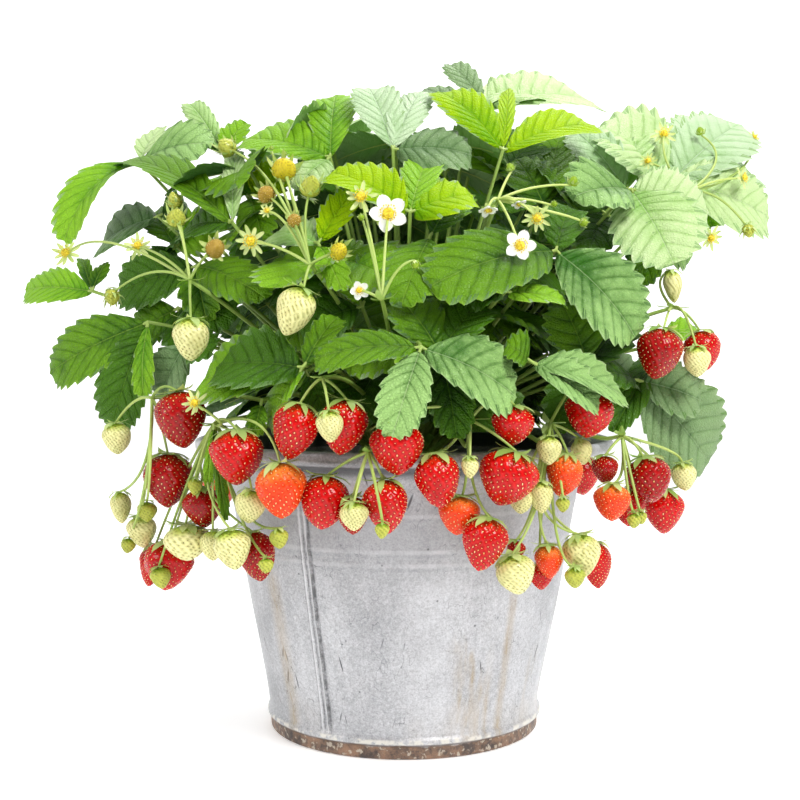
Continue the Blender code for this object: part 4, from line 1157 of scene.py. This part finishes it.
def grow_berry(pile, top, down, wide, high, tone, seed, fine=1.0, leafy=1.0):
    """A berry hanging down from its top point, with its seeds and calyx."""
    rng = np.random.default_rng(seed)
    down, right, front = axes_of(down, rng.uniform(0, 6.3))
    ripe = tone in RIPE
    around = int(88 * fine)
    rows = int(50 * fine)
    bulge = rng.uniform(1.45, 1.75)
    t = ((1 - np.cos(np.linspace(0.02, 1, rows) * math.pi)) / 2)[:, None]
    turn = circle(around)[None, :]
    lobes = 1 + 0.04 * np.sin(2 * turn + rng.uniform(0, 6.3)) + 0.025 * np.sin(3 * turn + 9 * t)
    squash = rng.uniform(0.94, 1.04)
    radius = wide / 2 * berry_radius(t, bulge) * lobes

    def point(t, turn, radius):
        across = right * (np.cos(turn) * squash)[..., None] + front * np.sin(turn)[..., None]
        return laid(top, (high * t, down)) + radius[..., None] * across

    skin = point(t, turn, radius)
    spacing = 0.0031 if ripe else 0.0028
    spacing *= max(0.62, min(1.0, wide / 0.024))
    area = 2.2 * (wide / 2) * high * 2.4
    seeds = int(min(260, max(30, area / (0.87 * spacing**2))))
    profile_t = np.linspace(0.03, 0.985, 400)
    profile = berry_radius(profile_t, bulge)
    ring = profile * np.sqrt(1 + np.gradient(profile * wide / 2, profile_t * high) ** 2)
    share = np.cumsum(ring)
    share /= share[-1]
    order = (np.arange(seeds) + 0.5) / seeds
    seed_t = np.interp(order, share, profile_t)
    seed_turn = (np.arange(seeds) * GOLDEN_TURN) % (2 * math.pi) + rng.normal(0, 0.03, seeds)
    phase = np.interp(seed_t, t[:, 0], np.arange(rows))
    seed_radius = wide / 2 * berry_radius(seed_t, bulge)
    row_near = np.clip(np.round(phase).astype(int), 0, rows - 1)
    column_near = np.round(seed_turn / (2 * math.pi) * around).astype(int) % around
    seed_radius = seed_radius * lobes[row_near, column_near]
    pits = point(seed_t, seed_turn, seed_radius)
    flat = skin.reshape(-1, 3)
    nearest = np.empty(len(flat))
    for start in range(0, len(flat), 1500):
        part = flat[start : start + 1500]
        gaps = np.linalg.norm(part[:, None] - pits[None], axis=2)
        nearest[start : start + 1500] = gaps.min(axis=1)
    pit_share, depth = (0.40, 0.00105) if ripe else (0.31, 0.00065)
    hollow = np.exp(-((nearest / (pit_share * spacing)) ** 2)).reshape(radius.shape)
    outward = unit(skin - laid(top, (high * t, down)))
    skin = skin - outward * (hollow * depth)[..., None] + outward * 0.0001
    pile.grid(skin, tone, around=True, along=t, pit=hollow)

    ahead_t = np.clip(seed_t + 0.004, 0, 0.999)
    ahead = unit(point(ahead_t, seed_turn, wide / 2 * berry_radius(ahead_t, bulge)) - pits)
    out = unit(pits - laid(top, (high * seed_t, down)))
    out = unit(out - ahead * (out * ahead).sum(axis=1)[:, None])
    beside = np.cross(ahead, out)
    half = (0.22 if ripe else 0.21) * spacing
    centre = pits - out * depth * 0.30
    shape = SEED_CORNERS[None]
    body = (
        centre[:, None]
        + shape[..., 2:3] * ahead[:, None] * half * 1.05
        + shape[..., 0:1] * beside[:, None] * half * 0.9
        + shape[..., 1:2] * out[:, None] * half * 0.62
    )
    pile.loose(body.reshape(-1, 4, 3), SEED_OF[tone])
    tint = (0.34, 0.28, 0.45, 0.46, 0.45, 0.60, 0.60)[tone]
    calyx(pile, np.array(top) + 0.0002 * -down, down, wide, high, rng, tint, 1.14 * leafy)


Berry = namedtuple("Berry", "name photo_x photo_y wide high swing behind tone")
BERRIES = (
    Berry("berry_01", 181, 420, 54, 57, 8, 2, CRIMSON),
    Berry("berry_02", 237, 458, 56, 55, 0, -4, RED),
    Berry("berry_03", 294, 432, 47, 57, -12, 0, RED),
    Berry("berry_04", 343, 428, 50, 55, -8, 8, RED),
    Berry("berry_05", 397, 449, 56, 53, 3, 4, RED),
    Berry("berry_06", 438, 481, 48, 55, 6, 4, RED),
    Berry("berry_07", 484, 545, 46, 54, -12, 0, RED),
    Berry("berry_08", 507, 479, 59, 56, -20, 0, RED),
    Berry("berry_10", 589, 415, 49, 46, -6, 8, RED),
    Berry("berry_11", 564, 476, 39, 43, -10, 4, ORANGE),
    Berry("berry_13", 659, 354, 49, 51, -10, 0, CRIMSON),
    Berry("berry_15", 612, 503, 37, 37, 0, -2, ORANGE),
    Berry("berry_16", 649, 480, 47, 46, 14, -4, CRIMSON),
    Berry("berry_17", 664, 512, 41, 44, 0, 19, RED),
    Berry("berry_18", 168, 481, 50, 54, 0, 4, CRIMSON),
    Berry("berry_19", 281, 491, 50, 56, 2, -4, ORANGE),
    Berry("berry_20", 324, 503, 52, 54, -6, 12, RED),
    Berry("berry_21", 386, 507, 48, 54, 6, 6, RED),
    Berry("berry_22", 257, 557, 40, 50, 10, 10, CRIMSON),
)


def hang(row):
    """Top point, downward axis, width and height in metres of a berry from its row."""
    centre = spot(row.photo_x, row.photo_y, row.behind)
    scale = scale_at(centre)
    lean = math.radians(row.swing)
    down = Vector((math.sin(lean), 0.0, -math.cos(lean)))
    high = row.high * scale
    return centre - down * (high / 2), down, row.wide * scale, high


tops = {}
for order, row in enumerate(BERRIES):
    top, down, wide, high = hang(row)
    tops[row.name] = top - down * 0.0004
    body = Pile(*BERRY_NUMBERS)
    grow_berry(body, top, down, wide, high, row.tone, 100 + order)
    slot = "half_ripe_berry" if row.tone == ORANGE else "ripe_berry"
    body.finish(row.name + "_fruit", BERRY_SURFACES, slot, row.name)

# Trusses: the stalks that carry the fruit and the flowers, forked into thin stems. The stems bear
# the berries above, more fruits, most of them small and unripe, green stars whose petals have
# dropped, buds and a few white flowers.
petal_white = Surface("petals", 0.55)
petal_cloud = petal_white.place.noise(300.0, 2.0)
petal_white.set("Base Color", petal_cloud.blend(ink(240, 242, 236), ink(252, 252, 250)))
petal_white.set("Roughness", petal_cloud * 0.2 + 0.45)
petal_white.glow(ink(250, 250, 240), 0.30)
pollen = speckled("pollen", 0.6, 900.0, 0.35, 0.65, (206, 170, 10), (250, 226, 60))
withered = speckled("withered stamens", 0.7, 900.0, 0.35, 0.65, (120, 90, 30), (204, 172, 70))
TRUSS_SURFACES = BERRY_SURFACES + [stem_green, petal_white, pollen, withered]
TWIG, PETAL, POLLEN, WITHERED = 10, 11, 12, 13


def dome(pile, centre, axis, radius, height, slot, seed, bumps=0.12):
    """A low dome of many small bumps, the middle of a flower."""
    rng = np.random.default_rng(seed)
    axis, right, front = axes_of(axis)
    t = np.linspace(0.03, 1, 12)[:, None]
    turn = circle(28)[None, :]
    rough = 1 + bumps * np.sin(turn * 9 + t * 30) * np.sin(t * 24 + turn * 3)
    out = radius * np.sin(t * math.pi / 2) * rough
    up = height * np.cos(t * math.pi / 2) * rough
    sheet = laid(centre, (out * np.cos(turn), right), (out * np.sin(turn), front), (up, axis))
    pile.grid(sheet, slot, around=True, tint=0.5)


def bead(pile, centre, radius, slot):
    """A tiny grain, such as an anther."""
    turn = circle(5)[None, :]
    fall = np.array([0.05, 0.5, 0.95])[:, None] * math.pi
    sheet = np.stack(
        [
            np.sin(fall) * np.cos(turn),
            np.sin(fall) * np.sin(turn),
            np.broadcast_to(np.cos(fall), (3, 5)),
        ],
        axis=-1,
    )
    pile.grid(np.array(centre) + sheet * radius, slot, around=True, tint=0.5)


def head(pile, kind, centre, facing, size, seed, tone):
    """A flower head: flower, star (petals dropped), young (fruit just set) or bud."""
    rng = np.random.default_rng(seed)
    axis, right, front = axes_of(facing, rng.uniform(0, 6.3))
    centre = np.array(centre, float)
    half = size / 2
    longest, lean, broad = {
        "flower": (0.80, -0.05, 0.40), "star": (1.05, 0.10, 0.28),
        "young": (1.15, 0.80, 0.36), "bud": (0.56, 1.1, 0.40),
    }[kind]
    for index in range(10):
        turn = 2 * math.pi * index / 10 + rng.uniform(-0.14, 0.14)
        outward = right * math.cos(turn) + front * math.sin(turn)
        curl = lean + rng.uniform(-0.25, 0.35)
        reach = longest * half * rng.uniform(0.85, 1.05) * (0.82 if index % 2 else 1.0)
        root = centre - axis * (0.10 * half) + outward * (0.12 * half)
        pale = rng.uniform(0.7, 1.0) if kind == "star" else rng.uniform(0.35, 0.85)
        sepal(pile, root, outward, axis, reach, half * broad, 0.0, curl, pale)
    if kind == "flower":
        for index in range(5):
            turn = 2 * math.pi * index / 5 + 0.2
            outward = right * math.cos(turn) + front * math.sin(turn)
            side = np.cross(axis, outward)
            t = np.linspace(0, 1, 9)[:, None]
            s = np.linspace(-1, 1, 9)[None, :]
            wide = half * 0.37 * np.sin(math.pi * np.clip(t**1.15 * 0.90 + 0.08, 0, 1)) ** 0.6
            go = half * (0.16 + 0.84 * t)
            cup = 0.10 + (0.10 + 0.14 * math.sin(index * 2.4)) * t**2 + 0.14 * s**2 * t
            up = half * (cup + 0.04 * np.sin(s * 5 + index) * t)
            sheet = laid(centre, (go, outward), (wide * s, side), (up, axis))
            pile.grid(sheet, PETAL)
            pile.grid(sheet - 0.0002 * axis, PETAL, flip=True)
    if kind in ("flower", "star"):
        slot = WITHERED if tone == BROWN else POLLEN
        dome(pile, centre + axis * 0.10 * half, axis, half * 0.30, half * 0.30, slot, seed)
        for index in range(20):
            turn = 2 * math.pi * index / 20
            reach = half * rng.uniform(0.34, 0.46)
            outward = right * math.cos(turn) + front * math.sin(turn)
            anther = centre + outward * reach + axis * half * rng.uniform(0.18, 0.34)
            bead(pile, anther, half * 0.055, slot)
    if kind == "young":
        low = centre - axis * half * 0.5
        grow_berry(pile, low, axis, size * 0.70, size * 0.78, tone, seed, 0.4, 0.8)
    if kind == "bud":
        dome(pile, centre, axis, half * 0.42, half * 0.7, GREEN, seed, 0.05)


Twig = namedtuple("Twig", "bears photo_x photo_y behind wide high swing arch by tone facing")
Truss = namedtuple("Truss", "name photo_x photo_y behind lift twigs")


def to_berry(name, arch=0.10, by=None):
    return Twig(name, 0, 0, 0, 0, 0, 0, arch, by, 0, None)


def fruit(photo_x, photo_y, behind, wide, high, tone=CREAM, swing=0, arch=0.10, by=None):
    return Twig("fruit", photo_x, photo_y, behind, wide, high, swing, arch, by, tone, None)


def bloom(
    kind, photo_x, photo_y, behind, size, facing=(0.05, 0.9, 0.35), arch=0.10, by=None, tone=GREEN
):
    return Twig(kind, photo_x, photo_y, behind, size, 0, 0, arch, by, tone, facing)


UPWARD = (-0.3, 0.3, 0.9)
DOWNWARD = (0.1, 0.4, -0.9)
TRUSSES = (
    Truss("truss_left_high", 190, 280, -2, 0.10, (
        fruit(191, 340, -4, 38, 42, CREAM, 0, 0.0), bloom("star", 138, 246, 2, 26),
        bloom("star", 66, 253, 6, 28, (-0.2, 0.9, 0.3), by=(112, 243, 0)),
        bloom("young", 112, 295, -6, 22, DOWNWARD, 0.25),
        bloom("young", 176, 203, -8, 22, UPWARD, 0.1),
        bloom("young", 176, 220, -12, 26, (0.2, 0.6, 0.6), 0.3),
        bloom("young", 215, 249, -4, 28, (0.2, 0.9, 0.1), 0.2, None, BROWN))),
    Truss("truss_centre_left", 310, 265, -2, 0.26, (
        fruit(294, 312, -4, 40, 50, CREAM, -22, 0.1),
        bloom("star", 251, 241, -4, 32, (-0.1, 0.9, -0.1)),
        bloom("young", 338, 252, -4, 26, (0.4, 0.8, 0.2), 0.1, None, YELLOW),
        bloom("young", 284, 171, -2, 34, (0.1, 0.8, 0.4), 0.1, None, YELLOW),
        bloom("young", 267, 195, -2, 26, (-0.2, 0.9, 0.2), 0.1, (292, 222, -4), BROWN),
        bloom("young", 310, 190, -2, 30, (0.2, 0.5, 0.8), 0.1, (305, 225, -2)),
        bloom("young", 229, 149, 0, 26, (-0.6, 0.6, 0.5), 0.1, (272, 185, -6)),
        bloom("bud", 272, 150, 2, 12, UPWARD, 0.1, (280, 180, -2)),
        bloom("bud", 285, 155, 2, 12, UPWARD, 0.1, (288, 180, -2)),
        bloom("star", 267, 211, -4, 16, (0.0, 0.9, 0.4), 0.1, (286, 224, -4)),
        bloom("young", 294, 221, -8, 20, (0.2, 0.9, 0.3), 0.1, None, BROWN))),
    Truss("truss_centre", 382, 300, 0, 0.20, (
        bloom("flower", 388, 214, -14, 39, (0.1, 0.97, 0.15)),
        bloom("bud", 415, 262, -10, 20, DOWNWARD, 0.4),
        bloom("flower", 359, 290, -6, 20, (0.2, 0.8, -0.2)),
        bloom("star", 361, 197, -10, 32, (0.0, 0.95, 0.3)),
        bloom("bud", 362, 218, -10, 15, (-0.3, 0.8, 0.3)))),
    Truss("truss_centre_right", 498, 200, -2, 0.14, (
        bloom("flower", 520, 246, -12, 32, (0.0, 0.96, 0.2)),
        bloom("flower", 488, 209, -8, 20, DOWNWARD, 0.3),
        bloom("bud", 572, 184, -4, 24, (0.3, 0.5, 0.8)), bloom("bud", 511, 170, -4, 20, UPWARD),
        bloom("star", 537, 218, -8, 28, (0.0, 0.8, -0.3), 0.3),
        bloom("flower", 519, 203, -8, 16, DOWNWARD, 0.3),
        bloom("bud", 582, 222, -6, 20, (0.5, 0.6, -0.2), by=(560, 214, -8)),
        bloom("bud", 554, 205, -6, 14, (0.0, 0.8, 0.5)))),
    Truss("truss_right_high", 690, 192, 8, 0.22, (
        bloom("star", 664, 134, -2, 24, (-0.1, 0.9, 0.3), by=(668, 165, -6)),
        bloom("star", 743, 178, -12, 22, (0.7, 0.6, 0.2)),
        bloom("young", 748, 229, -8, 18, DOWNWARD, 0.3),
        bloom("bud", 701, 134, 2, 20, UPWARD, by=(716, 160, -2)),
        bloom("star", 754, 137, 6, 14, (0.4, 0.8, 0.3), by=(740, 170, 0)),
        bloom("star", 711, 238, -6, 24, (0.2, 0.8, -0.3), 0.2),
        bloom("star", 648, 161, -8, 18, (-0.3, 0.9, 0.3)))),
    Truss("truss_left_low", 152, 398, 0, 0.20, (
        to_berry("berry_01", 0.4), to_berry("berry_18", 0.3),
        fruit(117, 439, -8, 28, 31, CREAM, 4, 0.3),
        fruit(121, 508, 0, 22, 31, CREAM, 4, 0, (145, 462, -20)),
        fruit(142, 532, 4, 31, 32, CREAM, 6, 0, (148, 468, -23)),
        fruit(147, 512, -4, 20, 20, GREEN, 0, 0, (150, 468, -23)),
        fruit(128, 546, -2, 15, 15, GREEN, -10, 0, (146, 478, -20)))),
    Truss("truss_left_hang", 214, 424, 8, 0.24, (
        to_berry("berry_02", 0.3), to_berry("berry_19", by=(256, 423, 4)),
        to_berry("berry_22", by=(203, 478, 8)), fruit(187, 543, 4, 46, 36, CREAM, 4),
        fruit(233, 550, -15, 37, 41, CREAM, 8, by=(207, 480, 2)),
        fruit(168, 566, 14, 48, 50, RED, -8),
        fruit(250, 507, -6, 30, 33, CREAM, -6, by=(236, 440, 12)),
        fruit(213, 546, 8, 26, 30, CREAM, 0),
        fruit(203, 508, 10, 40, 40, CRIMSON, 6), fruit(195, 487, -2, 15, 17, GREEN, 0),
        fruit(161, 578, -2, 21, 22, GREEN, 10), fruit(152, 566, 20, 28, 42, RED, -10),
        bloom("star", 195, 403, -12, 26, (-0.2, 0.9, 0.3), by=(220, 422, -4)),
        fruit(279, 539, -2, 20, 20, GREEN, 6, by=(240, 505, 10)),
        fruit(266, 566, -6, 15, 15, GREEN, 0, by=(238, 510, 4)))),
    Truss("truss_front_left", 322, 378, 6, 0.22, (
        to_berry("berry_03", 0.2), to_berry("berry_04", 0.2),
        fruit(330, 427, -13, 29, 31, CREAM, 4, 0.2))),
    Truss("truss_front", 368, 452, 8, 0.40, (
        to_berry("berry_20"), to_berry("berry_21", 0.2), fruit(354, 517, -6, 29, 28, CREAM, 0),
        fruit(382, 531, -12, 16, 16, GREEN, -4, by=(377, 492, -14)),
        fruit(353, 516, 10, 34, 38, CRIMSON, 0))),
    Truss("truss_front_right", 470, 420, 14, 0.38, (
        to_berry("berry_05", 0.35), to_berry("berry_06", by=(450, 445, 12)), to_berry("berry_08"),
        fruit(513, 426, 6, 43, 39, RED, 0, 0.5),
        fruit(459, 516, 15, 41, 39, ORANGE, -8, by=(467, 470, 12)),
        to_berry("berry_07", by=(472, 478, 12)), fruit(470, 468, -4, 19, 21, CREAM, 0))),
    Truss("truss_right_low", 550, 424, 14, 0.36, (
        to_berry("berry_10", by=(576, 384, 14)), to_berry("berry_11", 0.25),
        fruit(582, 556, -2, 37, 43, CREAM, 8, by=(540, 500, 8)), fruit(549, 451, 0, 26, 28, CREAM, 0),
        fruit(516, 575, 0, 40, 40, CREAM, 12, by=(538, 500, 8)),
        fruit(549, 562, 6, 32, 34, ORANGE, 4, by=(539, 500, 10)),
        fruit(541, 498, 4, 25, 31, CREAM, 4),
        fruit(521, 501, 10, 26, 26, CREAM, 0), fruit(597, 566, 10, 32, 46, RED, 4, by=(545, 500, 14)),
        fruit(575, 578, -10, 21, 21, GREEN, 0, by=(556, 530, 0)),
        fruit(563, 505, -6, 14, 15, GREEN, 0),
        fruit(582, 452, 16, 22, 26, CREAM, 10),
        fruit(541, 577, 14, 26, 26, RED, 0, by=(541, 520, 16)),
        fruit(516, 551, 16, 20, 20, CRIMSON, 0, by=(535, 500, 16)))),
    Truss("truss_right_hang", 622, 436, 14, 0.30, (
        to_berry("berry_15", by=(622, 470, 8)), to_berry("berry_16", 0.3),
        to_berry("berry_17", by=(654, 462, 19)), fruit(605, 470, 10, 28, 28, CRIMSON, 0),
        fruit(684, 477, 4, 25, 28, CREAM, 10, by=(668, 450, 8)),
        fruit(634, 521, -8, 14, 15, GREEN, 0, by=(628, 490, -6)),
        fruit(641, 518, -8, 12, 13, GREEN, 8, by=(634, 488, -6)),
        fruit(629, 508, 14, 32, 37, RED, 0, by=(632, 475, 18)))),
    Truss("truss_right", 672, 308, 10, 0.16, (
        to_berry("berry_13", 0.2), fruit(703, 351, -6, 38, 40, RED, 10, 0.3),
        fruit(697, 362, -20, 27, 30, CREAM, 4, 0.4),
        fruit(673, 287, 4, 20, 32, CREAM, 6, 0, (660, 284, 18)))),
)


def over_rim(fork):
    """Points of a stalk that hangs over the rim to its fork, or nothing where the fork is higher."""
    level = Vector((fork.x, fork.y, 0.0))
    if fork.z > RIM_TOP + 0.022:
        return None
    outward = level.normalized()
    crest = outward * (RIM_RADIUS - 0.012) + Vector((0.0, 0.0, RIM_TOP + 0.0085))
    lip = outward * (RIM_RADIUS + 0.006) + Vector((0.0, 0.0, RIM_TOP + 0.0040))
    middle = outward * 0.066 + Vector((0.0, 0.0, RIM_TOP + 0.0200))
    return smooth_line([sprout(middle), middle, crest, lip, fork], 6)


def bracts(pile, fork, seed):
    """The small green leafy bracts where a truss forks."""
    rng = np.random.default_rng(seed)
    for index in range(3):
        turn = 2.1 * index + rng.uniform(-0.4, 0.4)
        outward = np.array([math.cos(turn), math.sin(turn), 0.0])
        sepal(
            pile, fork, outward, np.array([0.0, 0.0, 1.0]), rng.uniform(0.007, 0.011), 0.0042,
            rng.uniform(-0.003, 0.002), rng.uniform(-0.3, 0.5), rng.uniform(0.1, 0.4)
        )


for order, truss in enumerate(TRUSSES):
    bunch = Pile(*BERRY_NUMBERS)
    fork = spot(truss.photo_x, truss.photo_y, truss.behind)
    stem(bunch, over_rim(fork) or climb(fork, truss.lift), 0.0014, 0.0011, TWIG, 0.35)
    bracts(bunch, fork, 480 + order)
    for number, twig in enumerate(truss.twigs):
        seed = 500 + order * 20 + number
        if twig.bears in tops:
            end = tops[twig.bears]
        elif twig.bears == "fruit":
            top, down, wide, high = hang(twig)
            end = top - down * 0.0004
            fine = 0.62 if wide > 0.012 else 0.4
            grow_berry(bunch, top, down, wide, high, twig.tone, seed, fine, 1.15)
        else:
            end = spot(twig.photo_x, twig.photo_y, twig.behind)
            right, toward, up = twig.facing
            facing = Vector((right, -toward, up)).normalized()
            size = twig.wide * scale_at(end)
            head(bunch, twig.bears, end, facing, size, seed, twig.tone)
            end = end - facing * 0.0008
        reach = (end - fork).length
        middle = fork.lerp(end, 0.45) + Vector((0.0, -0.003, twig.arch * reach))
        if twig.by:
            middle = spot(*twig.by) * 2 - (fork + end) / 2
        tint = 1.3 if truss.name == "truss_centre_right" else 0.45 + 0.4 * ((seed * 0.37) % 1.0)
        stem(bunch, bow(fork, middle, end, 12), 0.00088, 0.00064, TWIG, tint, 7)
    bunch.finish(truss.name + "_stems", TRUSS_SURFACES, "green_stem", truss.name)

# Trusses at the back: place round the axis, and for each fruit how far it is turned from there, its
# distance from the axis, the height of its middle, its width in millimetres and its ripeness.
BACK_TRUSSES = (
    ("truss_back_left", 214, (
        (-13, 0.143, 0.150, 25, RED), (3, 0.147, 0.124, 27, RED),
        (14, 0.142, 0.156, 19, CREAM), (24, 0.144, 0.130, 23, ORANGE))),
    ("truss_back_right", 147, (
        (-22, 0.143, 0.140, 24, RED), (-8, 0.144, 0.157, 20, CREAM),
        (5, 0.147, 0.120, 26, RED), (17, 0.143, 0.144, 25, CRIMSON))),
)
for name, degrees, fruits in BACK_TRUSSES:
    bunch = Pile(*BERRY_NUMBERS)
    fork = polar(degrees, 0.1310, 0.1840)
    stem(bunch, over_rim(fork), 0.0015, 0.0012, TWIG, 0.35)
    for number, (turn, reach, height, size, tone) in enumerate(fruits):
        wide = size / 1000.0
        top = polar(degrees + turn, reach, height) + Vector((0.0, 0.0, wide * 0.55))
        middle = fork.lerp(top, 0.5) + polar(degrees + turn, 0.006, 0.006)
        stem(bunch, bow(fork, middle, top, 10), 0.00095, 0.00070, TWIG, 0.6, 7)
        lean = Vector((0.12 * math.sin(number * 2.0 + degrees), 0.05, -1.0)).normalized()
        grow_berry(bunch, top, lean, wide, wide * 1.1, tone, 900 + degrees + number, 0.75)
    bunch.finish(name + "_stems", TRUSS_SURFACES, "green_stem", name)
